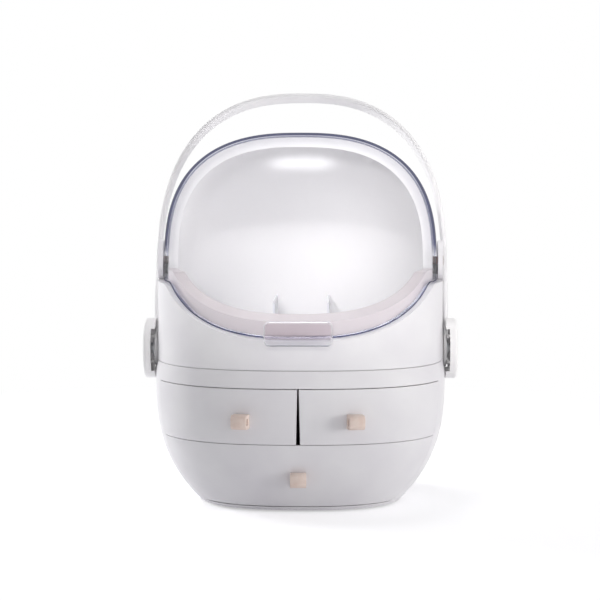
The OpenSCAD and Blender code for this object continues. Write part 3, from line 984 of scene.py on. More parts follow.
def keep(
    thing: bpy.types.Object, body: str, finish: Finish, slot: str, *nodes: str
) -> bpy.types.Object:
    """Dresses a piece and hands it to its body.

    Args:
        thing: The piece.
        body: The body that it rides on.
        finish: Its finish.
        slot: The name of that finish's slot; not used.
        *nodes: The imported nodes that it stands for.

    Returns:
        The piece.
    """
    dress(thing, finish)
    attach(thing, body)
    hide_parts(*nodes)
    return thing


def both_ways(solid: Solid, cut: Solid) -> Solid:
    """Cuts a form out of a solid on the right and on the left."""
    return solid - cut - mirrored(cut)


def hub_seats(solid: Solid) -> Solid:
    """Cuts both seats of the hub plates and the holes behind them."""
    seated = both_ways(solid, bar_x(SEAT_FROM, ASIDE, SEAT_RADIUS, 0, HUB))
    return both_ways(seated, bar_x(INSIDE, ASIDE, HUB_HOLE, 0, HUB))


def hub_pads(low: float, high: float) -> Solid:
    """Makes the part between two heights of the pads inside the walls behind the hub plates."""
    pad = bar_x(*PAD, PAD_RADIUS, 0, HUB)
    return (pad | mirrored(pad)) & block((-REACH, -REACH, low), (REACH, REACH, high))


@dataclass
class LowerCabinet:
    """The cabinet's shell and its base plate, which the base screws hold."""

    plate_low: float = 1.5
    plate_top: float = 4.5
    plate_gap: float = 0.05
    plate_edge: float = 0.5
    top: float = 107.8
    edge: float = 0.4
    steps: int = 60
    mouth_top: float = 95.4
    shelf: float = 53.3
    rail: tuple[Flat, Flat] = ((94, -44), (114, 36))
    rail_height: float = 2.0
    flange: Flat = (64.0, 57.0)
    flange_height: float = 2.0
    flange_sides: int = 200
    ledge_outer: Flat = (107.2, 97.5)
    ledge_inner: Flat = (102.1, 92.4)
    ledge_low: float = 103.7
    ledge_high: float = 105.7
    raised: float = 2.6
    boss: float = 3.4
    thread: float = 1.4
    clearance: float = 1.6
    head: float = 3.3
    head_depth: float = 3.1
    screws: tuple[Flat, ...] = ((69, 14), (69, -30), (40, 55))
    runner: tuple[Flat, Flat] = ((38, -58), (42, 42))
    foot: Flat = (54, 40)
    foot_radius: float = 6.1
    foot_depth: float = 2.3

    def screw_places(self) -> list[Flat]:
        """Lists the places of the base screws in plan."""
        return [(side * x, y) for x, y in self.screws for side in (-1, 1)]

    def shell(self) -> Solid:
        """Builds the cabinet's shell.

        Returns:
            The shell.
        """
        form, base = CABINET, self.plate_top
        body = form.solid(base, self.top, 0, self.steps, self.edge)
        body = body - form.solid(base - 2, self.top + 2.2, WALL, self.steps)
        hole = outline(*self.flange, form.roundness, self.flange_sides)
        flange = form.solid(base, base + self.flange_height, SUNK, 2) - upright(hole, 0, THROUGH)
        (x0, y0), (x1, y1) = self.rail
        rail = block((x0, y0, self.shelf - self.rail_height), (x1, y1, self.shelf))
        rail = rail & form.solid(self.shelf - 3, self.shelf + 1, SUNK, 3)
        outer = outline(*self.ledge_outer, form.roundness, form.sides)
        inner = outline(*self.ledge_inner, form.roundness, form.sides)
        ledge = upright(outer, self.ledge_low, self.ledge_high)
        ledge = ledge - upright(inner, self.ledge_low - 1.7, self.ledge_high + 1.3)
        for part in (flange, rail, mirrored(rail), ledge, hub_pads(0, self.top)):
            body = body | part
        for place in self.screw_places():
            body = body | post(place, self.boss, base, base + self.raised, 32)
        body = body - block((-REACH, -REACH, 0), (REACH, -form.front_cut, self.mouth_top))
        for place in self.screw_places():
            body = body - post(place, self.thread, 0, THROUGH)
        return hub_seats(body)

    def plate(self) -> Solid:
        """Builds the base plate with its runners, the feet's seats and the screw holes.

        Returns:
            The plate.
        """
        top = self.plate_top
        body = CABINET.solid(self.plate_low, top - self.plate_gap, 0, 3, self.plate_edge)
        (x0, y0), (x1, y1) = self.runner
        runner = block((x0, y0, top - SUNK), (x1, y1, top + self.raised))
        body = body | runner | mirrored(runner)
        x, y = self.foot
        for place in ((-x, -y), (-x, y), (x, -y), (x, y)):
            body = body - post(place, self.foot_radius, 0, self.foot_depth, 48)
        for place in self.screw_places():
            body = body - post(place, self.clearance, 0, THROUGH)
            body = body - post(place, self.head, 0, self.head_depth, 32)
        return body

    def build(self) -> list[bpy.types.Object]:
        """Builds and dresses the cabinet.

        Returns:
            The shell and the plate.
        """
        shell, plate = self.shell().placed("cabinet_shell"), self.plate().placed("floor_plate")
        return [
            keep(shell, "cabinet", Finish.WHITE, "white_plastic", "lower_housing"),
            keep(plate, "cabinet", Finish.WHITE, "white_plastic", "base_plate"),
        ]


@dataclass
class UpperBox:
    """The upper housing and the dome with the rim round its opening."""

    half_width: float = 108.2
    half_depth: float = 98.5
    low: float = 108.1
    high: float = 202.0
    edge: float = 0.4
    sides: int = 300
    under: float = 90.0
    ring_rise: float = 0.9
    pads_top: float = 200.0
    cheek: float = 15.0
    cheek_sides: int = 128
    cheek_inner: float = 104.3
    pocket: float = 11.0
    pin_hole: float = 3.05
    pin_head: float = 4.7
    pin_head_depth: float = 0.7
    ledge: float = 181.2
    ledge_drop: float = 2.0
    gap: float = 0.8
    dome_gap: float = 0.15
    inside_base: float = 108.0
    rim_rise: float = 20.0
    rim_width: float = 7.4
    rim_front: float = -8.0
    rim_depth: float = 2.2
    corner: float = 10.0
    corner_steps: int = 16
    dome_thickness: float = 2.2
    base: float = 108.2
    boss: float = 4.4
    boss_height: float = 12.0
    boss_places: tuple[Flat, ...] = ((-73, -68.5), (-73, 68.5), (73, -68.5), (73, 68.5))
    # where the dome's painted light and painted shade go: limits that pick the faces
    over_rim: float = 0.2
    looks_front: float = 0.1
    gloss_and_light_from: float = -30.0
    lip_front: float = 0.3
    lip_side: float = 0.02
    lip_up: float = 0.5
    band_back: float = 2.0

    def plan(self, inset: float) -> list[Flat]:
        """Lists the box's outline in plan, drawn in by an inset."""
        a, b = self.half_width - inset, self.half_depth - inset
        return outline(a, b, CABINET.roundness, self.sides)

    def below_shoulder(self, drop: float) -> list[Flat]:
        """Lists the side view of everything below the shoulder.

        Args:
            drop: How far the shoulder is lowered.

        Returns:
            Pairs of depth and height.
        """
        lower, level, step = -self.gap - drop, self.ledge - drop, self.gap + drop
        shoulder = [(step, LID_EDGE.level + lower), (step, level), (ASIDE, level)]
        return LID_EDGE.points(lower) + shoulder + [(ASIDE, self.under), (FRONT, self.under)]

    def housing(self) -> Solid:
        """Builds the upper housing: wall, shoulder, hub pads, and the cheeks with their pockets.

        Returns:
            The housing.
        """
        rings = []
        for z in spread(self.low, self.high, 6, self.edge):
            draw = rounding(z, self.low, ABOVE, self.edge)
            rings.append([(x, y, z) for x, y in self.plan(draw)])
        wall = loft(rings) - upright(self.plan(WALL), self.low - 1, self.high + 1)
        cheeks = bar_x(-ASIDE, ASIDE, self.cheek, 0, PIVOT, self.cheek_sides)
        wall = wall & (sideways(self.below_shoulder(0), -ASIDE, ASIDE) | cheeks)
        inside = DomeForm(DOME.half_width + self.dome_gap, DOME.radius + self.dome_gap)
        ring = upright(self.plan(SUNK), self.low + self.ring_rise, self.high)
        ring = ring - inside.solid(self.inside_base)
        slab = sideways(self.below_shoulder(0), 1 - ASIDE, ASIDE - 1)
        slab = slab - sideways(self.below_shoulder(self.ledge_drop), -ASIDE, ASIDE)
        body = hub_seats((wall | (ring & slab)) | hub_pads(self.low, self.pads_top))
        reach = self.half_width - SUNK
        thick = bar_x(self.cheek_inner, reach, self.cheek, 0, PIVOT, self.cheek_sides)
        body = body | thick | mirrored(thick)
        cuts = (
            (DOME.half_width - 1, self.cheek_inner, self.pocket),
            (INSIDE, ASIDE, self.pin_hole),
            (self.half_width - self.pin_head_depth, ASIDE, self.pin_head),
        )
        for low, high, radius in cuts:
            body = both_ways(body, bar_x(low, high, radius, 0, PIVOT))
        return body

    def opening(self, more: float) -> Solid:
        """Makes the cutting form of the dome's opening.

        Args:
            more: How far it is grown on every side.

        Returns:
            The cutting form.
        """
        y, z, r = self.rim_front - self.corner, RIM_EDGE.level + self.corner, self.corner + more
        turns = [90 * i / self.corner_steps for i in range(self.corner_steps + 1)]
        points = RIM_EDGE.points(-more)
        points += [(y + r * sind(turn), z - r * cosd(turn)) for turn in turns]
        points += [(self.rim_front + more, ABOVE), (FRONT, ABOVE)]
        return sideways(points, 5 - ASIDE, ASIDE - 5)

    def dome(self) -> Solid:
        """Builds the dome with its rim and its screw bosses.

        Returns:
            The dome.
        """
        shell = DOME.solid(self.base) - DOME.solid(self.base - 1, self.dome_thickness)
        rim = DOME.solid(self.base + self.rim_rise, SUNK)
        rim = rim - DOME.solid(self.base + self.rim_rise / 2, self.rim_width)
        body = shell | (rim & self.opening(self.rim_depth))
        for place in self.boss_places:
            body = body | post(place, self.boss, self.base, self.base + self.boss_height, 40)
        return both_ways(body - self.opening(0), bar_x(INSIDE, ASIDE, self.pin_hole, 0, PIVOT))

    def mark_inside(self, mesh: bpy.types.Mesh) -> None:
        """Paints light and shade on the dome: the inner faces get the gloss of a polished mould
        with a lighter white that is painted light, as do the forward faces of the upper rim; the
        front band and the rim's sloping top get warm greys that are painted shade.

        Args:
            mesh: The dome's mesh.
        """
        # slots for the lighter gloss white (painted light) and for the two warm greys (painted
        # shade)
        gloss, shade, band_shade = 1, 2, 3
        for finish in (Finish.GLOSS_WHITE_PAINTED_LIGHT, Finish.RIM_TOP_PAINTED_SHADE, Finish.RIM_BAND_PAINTED_SHADE):
            mesh.materials.append(material_of(finish))
        for face in mesh.polygons:
            side, forward, up = face.normal
            # painted light: above the rim, faces that look forward take the lighter white
            if face.center.z > (RIM_EDGE.level + self.over_rim) * MM:
                inward = forward < -self.looks_front and face.center.y > self.gloss_and_light_from * MM
                face.material_index = gloss if inward else 0
            # painted shade: the rim's sloping top takes the darker warm grey
            elif forward < -self.lip_front and abs(side) < self.lip_side and up > self.lip_up:
                face.material_index = shade
            # painted shade: the front band below the opening takes the warm grey
            elif face.center.y < self.band_back * MM:
                face.material_index = band_shade
        # painted light: the inner faces take the lighter white, which brightens the inside of the
        # box
        for inset in (self.dome_thickness, self.rim_width):
            inner = [DOME.holds(v.co, inset) for v in mesh.vertices]
            for face in mesh.polygons:
                if all(inner[i] for i in face.vertices):
                    face.material_index = gloss

    def build(self) -> list[bpy.types.Object]:
        """Builds and dresses the upper box.

        Returns:
            The housing and the dome.
        """
        housing, dome = self.housing().placed("upper_box_wall"), self.dome().placed("dome")
        keep(housing, "cabinet", Finish.WHITE, "white_plastic", "upper_housing")
        keep(dome, "cabinet", Finish.WHITE, "white_plastic", "dome_shell")
        self.mark_inside(dome.data)
        return [housing, dome]


@dataclass
class ClearLid:
    """The clear swing-up lid with its grip."""

    thickness: float = 2.4
    base: float = 122.0
    ear: float = 10.0
    pin_hole: float = 3.08
    grip_width: float = 49.6
    grip_low: float = 126.0
    grip_high: float = 143.7
    grip_corner: float = 4.0
    grip_soft: float = 2.2
    grip_out: float = 3.6
    grip_in: float = 1.6
    grip_slope: float = 0.2
    soft_steps: int = 8
    corner_steps: int = 12
    corner_shrink: float = 0.7
    grip_start: float = 0.05
    hollow_half: float = 30.0
    hollow: tuple[Flat, ...] = (
        (-4.4, -1.0),
        (-4.4, 0.0),
        (-2.6, 5.2),
        (-2.6, 8.0),
        (3.0, 8.0),
        (3.0, -1.0),
    )

    def _grip_face(self, inset: float) -> list[Flat]:
        """Lists the grip's rounded outline in front view.

        Args:
            inset: How far it is drawn in.

        Returns:
            Pairs of X and height.
        """
        w, r = self.grip_width / 2 - inset, self.grip_corner - inset * self.corner_shrink
        x, low, high = w - r, self.grip_low + inset + r, self.grip_high - inset - r
        face: list[Flat] = []
        for cx, cz, start in ((x, high, 0), (-x, high, 90), (-x, low, 180), (x, low, 270)):
            for i in range(self.corner_steps + 1):
                turn = start + 90 * i / self.corner_steps
                face.append((cx + r * cosd(turn), cz + r * sind(turn)))
        return face

    def grip(self) -> Solid:
        """Builds the pillow-shaped grip at the lid's front edge, hollow under it for a finger.

        Returns:
            The grip.
        """
        front, low, high = -LID.radius, self.grip_low, self.grip_high
        rings = []
        for i in range(self.soft_steps + 1):
            turn = 90 * i / self.soft_steps
            inset, back = self.grip_soft * (1 - sind(turn)), self.grip_soft * (1 - cosd(turn))
            y, lean = front - self.grip_out + back, self.grip_slope
            rings.append([(x, y - lean * (high - z), z) for x, z in self._grip_face(inset)])
        rings.append([(x, front + self.grip_in, z) for x, z in self._grip_face(0)])
        hollow = [(front + y, low + z) for y, z in self.hollow]
        return loft(rings) - sideways(hollow, -self.hollow_half, self.hollow_half)

    def mark_edges(self, mesh: bpy.types.Mesh) -> None:
        """Gives the inside, the cut edges and the grip their finishes, and marks the outside.

        Args:
            mesh: The lid's mesh.
        """
        cut, inside, grip = 1, 2, 3
        for finish in (Finish.CLEAR_EDGE, Finish.CLEAR_INSIDE, Finish.CLEAR_GRIP):
            mesh.materials.append(material_of(finish))
        outer = [LID.holds(v.co, 0.0) for v in mesh.vertices]
        inner = [LID.holds(v.co, self.thickness) for v in mesh.vertices]
        depth = mesh.attributes.new("depth", "FLOAT", "POINT")
        for i, on_face in enumerate(outer):
            depth.data[i].value = 0.0 if on_face else 1.0
        for face in mesh.polygons:
            if all(inner[i] for i in face.vertices):
                face.material_index = inside
            elif face.center.y < -(LID.radius + self.grip_start) * MM:
                face.material_index = grip
            elif any(outer[i] for i in face.vertices) and any(inner[i] for i in face.vertices):
                face.material_index = cut

    def build(self) -> list[bpy.types.Object]:
        """Builds and dresses the lid.

        Returns:
            The lid, alone in a list.
        """
        shell = LID.solid(self.base) - LID.solid(self.base - 1, self.thickness)
        ends = [(0.0, LID_EDGE.level), (0.0, ABOVE), (FRONT, ABOVE)]
        front = sideways(LID_EDGE.points(0) + ends, -ASIDE, ASIDE)
        lid = (shell & (front | bar_x(-ASIDE, ASIDE, self.ear, 0, PIVOT, 96))) | self.grip()
        visor = (lid - bar_x(-ASIDE, ASIDE, self.pin_hole, 0, PIVOT)).placed("visor")
        keep(visor, "clear_lid", Finish.CLEAR, "clear_plastic", "lid")
        self.mark_edges(visor.data)
        return [visor]


@dataclass
class CarryHandle:
    """The bail handle and its two hub caps."""

    height: float = 220.5
    width: float = 227.2
    arm: float = 70.0
    arm_start: float = 8.0
    arm_steps: int = 24
    blend: float = 34.0
    spread: float = 2.0
    arch_steps: int = 360
    band: float = 12.0
    thickness: float = 4.4
    section_roundness: float = 3.2
    section_sides: int = 48
    eye_x: float = 108.95
    eye_thickness: float = 2.45
    eye_radius: float = 14.0
    eye_edge: float = 0.5
    bore: float = 6.05
    smooth_below: float = 80.0
    cap_radius: float = 23.0
    cap_inner: float = 110.4
    cap_outer: float = 120.0
    cap_edge: float = 0.4
    cap_bend: float = 2.6
    cap_steps: int = 12
    cap_shoulder: float = 0.6
    cap_flat: float = 9.0
    cap_crown: float = 0.15
    cap_wall: float = 2.2
    cap_roof: float = 2.6
    post: float = 1.5
    post_place: float = 11.4
    post_turns: tuple[int, ...] = (60, 180, 300)
    slot_half: float = 16.0
    slot_width: float = 3.0
    slot_reach: float = 12.0
    notch: Flat = (10.0, 30.0)

    def _path(self) -> list[tuple[float, float, float, float]]:
        """Lists the band's stations: X, height above the hub, thickness and width.

        Returns:
            The stations, from the right eye over the top to the left one.
        """
        start, half = self.eye_x + self.eye_thickness, self.width / 2
        arm, arch = [], []
        for i in range(self.arm_steps):
            h = self.arm_start + (self.arm - self.arm_start) * i / self.arm_steps
            u = min(1.0, h / self.blend)
            u = u * u * (3 - 2 * u) * 0.5 + u * 0.5
            t = self.eye_thickness + (self.thickness - self.eye_thickness) * u
            x = start + (half - start) * u - t / 2
            arm.append((x, h, t, self.band + self.spread * (1 - u)))
        a, b = half - self.thickness / 2, self.height - self.arm - self.thickness / 2
        for i in range(self.arch_steps + 1):
            x, z = outline_point(a, b, CABINET.roundness, 180 * i / self.arch_steps)
            arch.append((x, z + self.arm, self.thickness, self.band))
        return arm + arch + [(-x, h, t, w) for x, h, t, w in reversed(arm)]

    def bail(self) -> Solid:
        """Sweeps the band's rounded section along the arms and the arch, and adds the eyes.

        Returns:
            The bail, about the hub's axis.
        """
        path = self._path()
        last = len(path) - 1
        rings = []
        for i, (x, h, t, w) in enumerate(path):
            before, after = path[max(i - 1, 0)], path[min(i + 1, last)]
            dx, dz = after[0] - before[0], after[1] - before[1]
            along = math.hypot(dx, dz)
            ring = []
            for k in range(self.section_sides):
                turn = 360 * (k + 0.5) / self.section_sides
                out, y = outline_point(t / 2, w / 2, self.section_roundness, turn)
                ring.append((x + dz / along * out, y, h - dx / along * out))
            rings.append(ring)
        body = loft(rings)
        r, edge = self.eye_radius, self.eye_edge
        x0, x1 = self.eye_x, self.eye_x + self.eye_thickness
        eye_view = [(0.0, x0), (r - edge, x0), (r, x0 + edge)]
        eye_view += [(r, x1 - edge), (r - edge, x1), (0.0, x1)]
        eye = turned(eye_view, 128)
        bore = bar_x(INSIDE, ASIDE, self.bore, 0, 0, 96)
        for part, how in ((eye, Joining.WITH), (bore, Joining.LESS)):
            for side in (part, mirrored(part)):
                body = body.joined(side, how, Solver.EXACT)
        return body

    def cap(self) -> Solid:
        """Builds the right hub cap about the hub's axis, which turns with the handle's eye.

        Returns:
            The cap.
        """
        x0, x1, r, bend = self.cap_inner, self.cap_outer, self.cap_radius, self.cap_bend
        shoulder = x1 - self.cap_shoulder - bend
        profile: list[Flat] = [(0.0, x0), (r - self.cap_edge, x0), (r, x0 + self.cap_edge)]
        for i in range(self.cap_steps + 1):
            turn = 90 * i / self.cap_steps
            profile.append((r - bend + bend * cosd(turn), shoulder + bend * sind(turn)))
        profile += [(r - self.cap_flat, x1 - self.cap_crown), (0.0, x1)]
        side, roof = r - self.cap_wall, x1 - self.cap_roof
        hollow = [(0.0, x0 - 1), (side, x0 - 1), (side, roof), (0.0, roof)]
        body = turned(profile, 160) - turned(hollow, 160)
        tilt = Matrix.Rotation(math.radians(-LEAN), 4, "X")
        stud = bar_x(self.eye_x + self.eye_thickness, x1 - 2, self.post, 0, self.post_place, 24)
        for angle in self.post_turns:
            body = body | stud.moved(tilt @ Matrix.Rotation(math.radians(angle), 4, "X"))
        far, up = x0 + self.slot_width, self.slot_half
        for y in (-r - 1, r - self.slot_reach):
            body = body - block((x0 - 1, y, -up), (far, y + self.slot_reach + 1, up))
        half, (low, high) = self.band / 2 + 1, self.notch
        notch = block((x0 - 5, -half, low), (far + 0.2, half, high))
        return body - notch.moved(tilt)

    def build(self) -> list[bpy.types.Object]:
        """Builds and dresses the handle and the caps.

        Returns:
            The bail and both caps.
        """
        lift = Matrix.Translation((0, 0, HUB))
        bail = self.bail().moved(lift @ Matrix.Rotation(math.radians(-LEAN), 4, "X"))
        piece = bail.placed("bail", self.smooth_below)
        made = [keep(piece, "carrying_handle", Finish.HANDLE_WHITE, "white_plastic", "handle")]
        cap = self.cap().moved(lift)
        # painted light: the caps take the lighter gloss white so that they look brighter
        for name, solid in (("right", cap), ("left", mirrored(cap))):
            piece, node = solid.placed(f"hub_cover_{name}"), f"hub_cap_{name}"
            made.append(keep(piece, "carrying_handle", Finish.GLOSS_WHITE_PAINTED_LIGHT, "white_plastic", node))
        return made


@dataclass
class Drawer:
    """One drawer's sizes: its front, its tray, where its sides are and where its pull sits."""

    name: str
    body: str
    low: float
    high: float
    tray_low: float
    tray_high: float
    half: float
    rear: float
    pull: Flat
    side: int = 0


DRAWERS = (
    Drawer("left", "left_drawer", 54.6, 94.6, 55.5, 92.0, 94.5, 86, (-40.6, 71.5), -1),
    Drawer("right", "right_drawer", 54.6, 94.6, 55.5, 92.0, 94.5, 86, (40.6, 71.5), 1),
    Drawer("bottom", "wide_drawer", 5.3, 53.8, 7.4, 52.2, 91.5, 62, (0.0, 28.0)),
)


@dataclass
class Drawers:
    """The three drawers, each one moulding of a curved front and an open tray."""

    thickness: float = 1.8
    middle: float = 1.4
    tight: float = 0.22
    edge: float = 0.3
    lap: float = 0.4
    lap_inside: float = 0.6
    beside: float = 1.2
    slit_low: float = 1.5
    slit_high: float = 0.6
    beyond: float = 10.0
    steps: int = 24
    face_steps: int = 30
    behind_steps: int = 20
    rear_steps: int = 96

    def _form(self, d: Drawer, low: float, high: float, inset: float) -> Solid:
        """Makes the upright form of a drawer's tray.

        Args:
            d: The drawer's sizes.
            low: Height of its lower end.
            high: Height of its upper end.
            inset: Distance inside the tray's outer face.

        Returns:
            The form.
        """
        a = d.half + self.beyond - inset
        turns = [180 * i / self.rear_steps for i in range(self.rear_steps + 1)]
        plan: list[Flat] = [(-a, FRONT + 20), (a, FRONT + 20)]
        plan += [outline_point(a, d.rear - inset, CABINET.roundness, turn) for turn in turns]
        sides = []
        for i in range(self.steps + 1):
            z = low + (high - low) * i / self.steps
            sides.append((min(CABINET.mouth(z, WALL) - self.beside, d.half) - inset, z))
        view = sides + [(-x, z) for x, z in reversed(sides)]
        return upright(plan, low - 1, high + 1) & endways(view, FRONT, 120)

    def _clear(self, low: float, high: float, inset: float) -> Solid:
        """Makes the room inside the cabinet's wall behind the front."""
        room = CABINET.solid(low, high, WALL + 1 + inset, self.steps)
        return room | block((-ASIDE, -ASIDE, low), (ASIDE, 0, high))

    def _behind(self, low: float, high: float, inset: float) -> Solid:
        """Makes the room behind a front's inner face."""
        bow = CABINET.bow(low, high, inset, CABINET.front_cut, self.behind_steps)
        return bow | block((-ASIDE, -CABINET.front_cut - self.lap, low), (ASIDE, REACH, high))

    def solid(self, d: Drawer) -> Solid:
        """Builds one drawer.

        Args:
            d: The drawer's sizes.

        Returns:
            The drawer's moulding.
        """
        t, s, low, high = self.thickness, d.side, d.tray_low, d.tray_high
        cut = CABINET.front_cut
        foot, head, n = d.low - self.tight, d.high + self.tight, self.face_steps
        face = CABINET.bow(foot, head, 0, cut + self.lap, n, self.edge)
        face = face - CABINET.bow(d.low - 1, d.high + 1, WALL, cut - self.lap_inside, n)
        tray = self._form(d, low, high, 0) & self._behind(low - 1, high + 1, 1)
        tray = tray & self._clear(low - 1, high + 1, 0)
        room = self._form(d, low + t, high + 2, t) & self._behind(low + t, high + 2, WALL)
        room = room & self._clear(low, high + 3, t)
        if not s:
            return face | (tray - room)
        slit = [(self.slit_low, d.low - 20), (self.slit_low, d.low), (self.slit_high, d.high)]
        slit += [(self.slit_high, d.high + 20), (REACH, d.high + 20), (REACH, d.low - 20)]
        face = face & endways([(s * x, z) for x, z in slit], -REACH, REACH)
        for part, end in ((tray - room, REACH), (tray, self.middle + t)):
            x0, x1 = sorted((s * self.middle, s * end))
            face = face | (part & block((x0, -REACH, 0), (x1, REACH, 200)))
        return face

    def build(self) -> list[bpy.types.Object]:
        """Builds and dresses the drawers.

        Returns:
            The three mouldings.
        """
        made = []
        for d in DRAWERS:
            piece = self.solid(d).placed(f"drawer_{d.name}_moulding")
            made.append(keep(piece, d.body, Finish.WHITE, "white_plastic", f"drawer_{d.name}"))
        return made


@dataclass
class Pulls:
    """The leather loops on the drawers."""

    width: float = 11.6
    height: float = 10.6
    reach: float = 10.0
    hole: float = 2.7
    corner: float = 3.4
    corner_steps: int = 12
    sunk: float = 0.1
    hole_forward: float = 0.9
    edges: tuple[Flat, ...] = ((0.0, 0.45), (0.15, 0.15), (0.5, 0.0))

    def _side(self, rate: float, grow: float) -> tuple[list[Flat], list[Flat]]:
        """Gives the side view of the strap's outside and of its hole.

        Args:
            rate: How fast the front leans back for each millimetre up.
            grow: How far the outside is drawn in.

        Returns:
            The outside and the hole, with the same number of points.
        """
        r, h, out = self.corner - grow * 0.5, self.height / 2 - grow, self.reach - grow
        turns = [90 * i / self.corner_steps for i in range(self.corner_steps + 1)]
        outer = [(-out + r - r * sind(turn), h - r + r * cosd(turn)) for turn in turns]
        outer += [(-out + r - r * cosd(turn), -h + r - r * sind(turn)) for turn in turns]
        outer += [(-self.sunk + rate * z, z) for z in (-h, -h * 0.5, 0.0, h * 0.5, h)]
        centre, radius = -self.reach / 2 - self.hole_forward, self.hole + grow * 0.6
        hole = []
        for y, z in outer:
            angle = math.atan2(z, y - centre)
            hole.append((centre + radius * math.cos(angle), radius * math.sin(angle)))
        return outer, hole

    def loop(self, rate: float) -> Solid:
        """Builds one loop about its place on the front, with rounded strap edges.

        Args:
            rate: How fast the front leans back for each millimetre up.

        Returns:
            The loop.
        """
        half = self.width / 2
        stations = [(-half + x, grow) for x, grow in self.edges]
        stations += [(half - x, grow) for x, grow in reversed(self.edges)]
        points: list[Point] = []
        for x, grow in stations:
            outer, hole = self._side(rate, grow)
            points += [(x, y, z) for y, z in outer + hole]
        n = len(points) // (2 * len(stations))
        faces: list[tuple[int, ...]] = []
        for j in range(len(stations) - 1):
            for i in range(n):
                k, lo, hi = (i + 1) % n, j * 2 * n, (j + 1) * 2 * n
                faces.append((lo + i, lo + k, hi + k, hi + i))
                faces.append((lo + n + k, lo + n + i, hi + n + i, hi + n + k))
        for base, flip in ((0, True), ((len(stations) - 1) * 2 * n, False)):
            for i in range(n):
                k = (i + 1) % n
                quad = (base + i, base + k, base + n + k, base + n + i)
                faces.append(tuple(reversed(quad)) if flip else quad)
        return Solid.of(points, faces)

    def build(self) -> list[bpy.types.Object]:
        """Builds and dresses the pulls, each square to its drawer's front.

        Returns:
            The three loops.
        """
        made = []
        for d in DRAWERS:
            x, z = d.pull
            turn = math.atan((CABINET.front_y(x + 1, z) - CABINET.front_y(x - 1, z)) / 2)
            rate = math.cos(turn) * (CABINET.front_y(x, z + 1) - CABINET.front_y(x, z - 1)) / 2
            where = Matrix.Translation((x, CABINET.front_y(x, z), z))
            where = where @ Matrix.Rotation(turn, 4, "Z")
            loop = self.loop(rate).moved(where).placed(f"loop_{d.name}")
            made.append(keep(loop, d.body, Finish.LEATHER, "peach_leather", f"pull_{d.name}"))
        return made


# ---------------------------------------------------------------- studio


def aimed(thing: bpy.types.Object, place: Point, aim: Point) -> bpy.types.Object:
    """Puts a camera or lamp at a place and turns it to a point.

    Args:
        thing: The camera or lamp.
        place: Where it stands, in metres.
        aim: The point that it faces.

    Returns:
        The camera or lamp.
    """
    thing.location = place
    thing.rotation_euler = (Vector(aim) - Vector(place)).to_track_quat("-Z", "Y").to_euler()
    return thing


def looked_at(add: Adder) -> bpy.types.NodeSocket:
    """Tells rays that look from rays that light.

    Args:
        add: Adds a node to the tree.

    Returns:
        A socket that is one for camera, mirror and see-through rays.
    """
    path = add("LightPath").outputs
    seen = path["Is Camera Ray"]
    for ray in ("Is Glossy Ray", "Is Transmission Ray"):
        seen = add("Math", {0: seen, 1: path[ray]}, operation="MAXIMUM").outputs[0]
    return seen


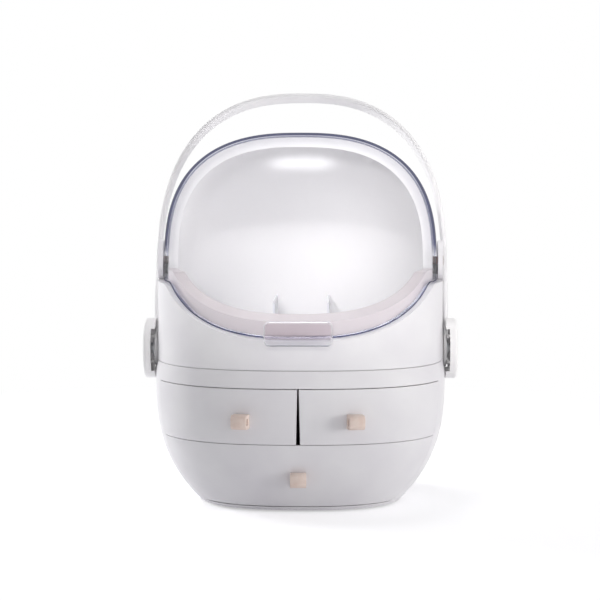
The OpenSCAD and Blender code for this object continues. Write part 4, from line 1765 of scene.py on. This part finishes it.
@dataclass
class Studio:
    """Camera, soft lights, white world and the pale floor."""

    distance: float = 1.5
    azimuth: float = 1.1
    camera_height: float = 0.272
    target: Point = (-0.0005, 0.0, 0.1513)
    lens: float = 117.9
    sensor: float = 36.0
    middle: Point = (0.0, 0.0, 0.14)
    daylight: Colour = (0.985, 0.98, 1.0, 1.0)
    daylight_strength: float = 0.36
    floor_half: float = 6.0
    floor_colour: str = "#F4F4F6"
    floor_lift: float = 0.45
    floor_near: float = 0.25
    floor_far: float = 0.7
    snoot_colour: str = "#FFFEFB"
    snoot_blend: float = 0.6
    snoot_soft: float = 0.1
    snoot_wide: float = 1.5

    def camera(self) -> None:
        """Places the camera."""
        data = bpy.data.cameras.new("camera")
        data.lens, data.sensor_width = self.lens, self.sensor
        data.clip_start, data.clip_end = 0.05, 50.0
        x, y = self.distance * sind(self.azimuth), -self.distance * cosd(self.azimuth)
        thing = in_scene("camera", data)
        bpy.context.scene.camera = aimed(thing, (x, y, self.camera_height), self.target)

    def world(self) -> None:
        """Sets a soft grey world that looks white to the camera."""
        world = bpy.data.worlds.new("studio")
        bpy.context.scene.world = world
        world.use_nodes = True
        world.node_tree.nodes.clear()
        add = partial(add_node, world.node_tree)
        soft = add("Background", {"Color": self.daylight, "Strength": self.daylight_strength})
        white = add("Background", {"Color": linear("#FFFFFF"), "Strength": 1.0})
        mix = add("MixShader", {0: looked_at(add), 1: soft.outputs[0], 2: white.outputs[0]})
        add("OutputWorld", {"Surface": mix.outputs[0]})

    def lamp(
        self, name: str, place: Point, size: float, power: float, colour: str = "#FFFFFF"
    ) -> bpy.types.Object:
        """Adds one soft round lamp that points at the object and leaves no reflection of its own.

        Args:
            name: The lamp's name.
            place: Where it stands, in metres.
            size: Its width, in metres.
            power: Its power, in watts.
            colour: Its hex colour.

        Returns:
            The lamp.
        """
        data = bpy.data.lights.new(name, "AREA")
        data.shape, data.size, data.energy = "DISK", size, power
        data.color = linear(colour)[:3]
        thing = aimed(in_scene(name, data), place, self.middle)
        thing.visible_glossy = False
        return thing

    def snoot(self, name: str, place: Point, aim: Point, angle: float, power: float) -> None:
        """Adds a narrow soft-edged spot that reaches through the clear lid into the box.

        Args:
            name: The lamp's name.
            place: Where it stands, in metres.
            aim: The point that it faces.
            angle: How wide its beam opens, in degrees.
            power: Its power, in watts.
        """
        data = bpy.data.lights.new(name, "SPOT")
        data.energy, data.spot_size, data.spot_blend = power, math.radians(angle), self.snoot_blend
        data.shadow_soft_size = self.snoot_soft
        data.color = linear(self.snoot_colour)[:3]
        thing = aimed(in_scene(name, data), place, aim)
        thing.scale = (self.snoot_wide, 1.0, 1.0)
        thing.visible_glossy = False

    def floor(self) -> None:
        """Lays a pale floor that keeps the object's shadow and fades to white."""
        half = self.floor_half
        corners = [(-half, -half, 0), (half, -half, 0), (half, half, 0), (-half, half, 0)]
        mesh = bpy.data.meshes.new("floor")
        mesh.from_pydata(corners, [], [(0, 1, 2, 3)])
        floor = in_scene("floor", mesh)
        material, add = new_material("studio_floor")
        far = add("VectorMath", {0: add("TexCoord").outputs["Object"]}, operation="LENGTH")
        span = {"From Min": self.floor_near, "From Max": self.floor_far}
        fade = add("MapRange", {"Value": far.outputs["Value"]} | span)
        diffuse = add("BsdfDiffuse", {"Color": linear(self.floor_colour)})
        lift = add("Emission", {"Color": linear("#FFFFFF"), "Strength": self.floor_lift})
        both = add("AddShader", {0: diffuse.outputs[0], 1: lift.outputs[0]})
        plain = add("Emission", {"Color": linear("#FFFFFF"), "Strength": 1.0})
        parts = {0: fade.outputs["Result"], 1: both.outputs[0], 2: plain.outputs[0]}
        near = add("MixShader", parts)
        mix = add("MixShader", {0: looked_at(add), 1: diffuse.outputs[0], 2: near.outputs[0]})
        add("OutputMaterial", {"Surface": mix.outputs[0]})
        mesh.materials.append(material)

    def build(self) -> None:
        """Sets up the whole studio."""
        bpy.context.scene.view_settings.view_transform = "Standard"
        self.camera()
        self.world()
        self.lamp("key", (1.3, -0.6, 0.2), 0.7, 9.2, "#FFFDFB")
        self.lamp("top", (0.0, 0.15, 1.2), 0.3, 2.0).visible_glossy = True
        self.lamp("fill", (0.55, -1.35, 0.06), 0.9, 1.85, "#FBFBFF")
        self.lamp("left_edge", (-1.2, 0.64, 0.4), 0.5, 12.0)
        self.snoot("upper_inside", (-0.16, -1.4, 0.47), (0.02, -0.04, 0.226), 6.6, 60.0)
        self.snoot("lower_inside", (-0.03, -1.1, 0.9), (0.0, 0.015, 0.165), 6.4, 48.0)
        self.floor()


NODE_FINISHES: dict[Finish, tuple[str, ...]] = {
    Finish.SMOKE: ("compartment_floor",),
    Finish.CLEAR: ("lid",),
    Finish.LEATHER: ("pull_left", "pull_right", "pull_bottom"),
    Finish.BROWN: (
        "lid_pin_left",
        "lid_pin_right",
        "pull_rivet_left",
        "pull_rivet_right",
        "pull_rivet_bottom",
        "friction_washers",
    ),
    Finish.ZINC: (
        "lid_pin_clips",
        "retaining_washers",
        "pivot_screws",
        "pivot_nuts",
        "base_screws",
        "housing_screws",
    ),
    Finish.RUBBER: ("rubber_feet",),
}


def dress_nodes() -> None:
    """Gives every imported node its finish, also those that a smoother piece stands for."""
    chosen = {name: finish for finish, names in NODE_FINISHES.items() for name in names}
    for name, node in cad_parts.items():
        dress(node, chosen.get(name, Finish.WHITE))


def main() -> None:
    """Builds the organizer's pieces in order, then the studio."""
    logging.basicConfig(level=logging.INFO, format="%(name)s: %(message)s")
    dress_nodes()
    for assembly in (LowerCabinet(), UpperBox(), ClearLid(), CarryHandle(), Drawers(), Pulls()):
        for piece in assembly.build():
            LOG.info("%s: %d faces", piece.name, len(piece.data.polygons))
    Studio().build()


if __name__ == "__main__":
    main()
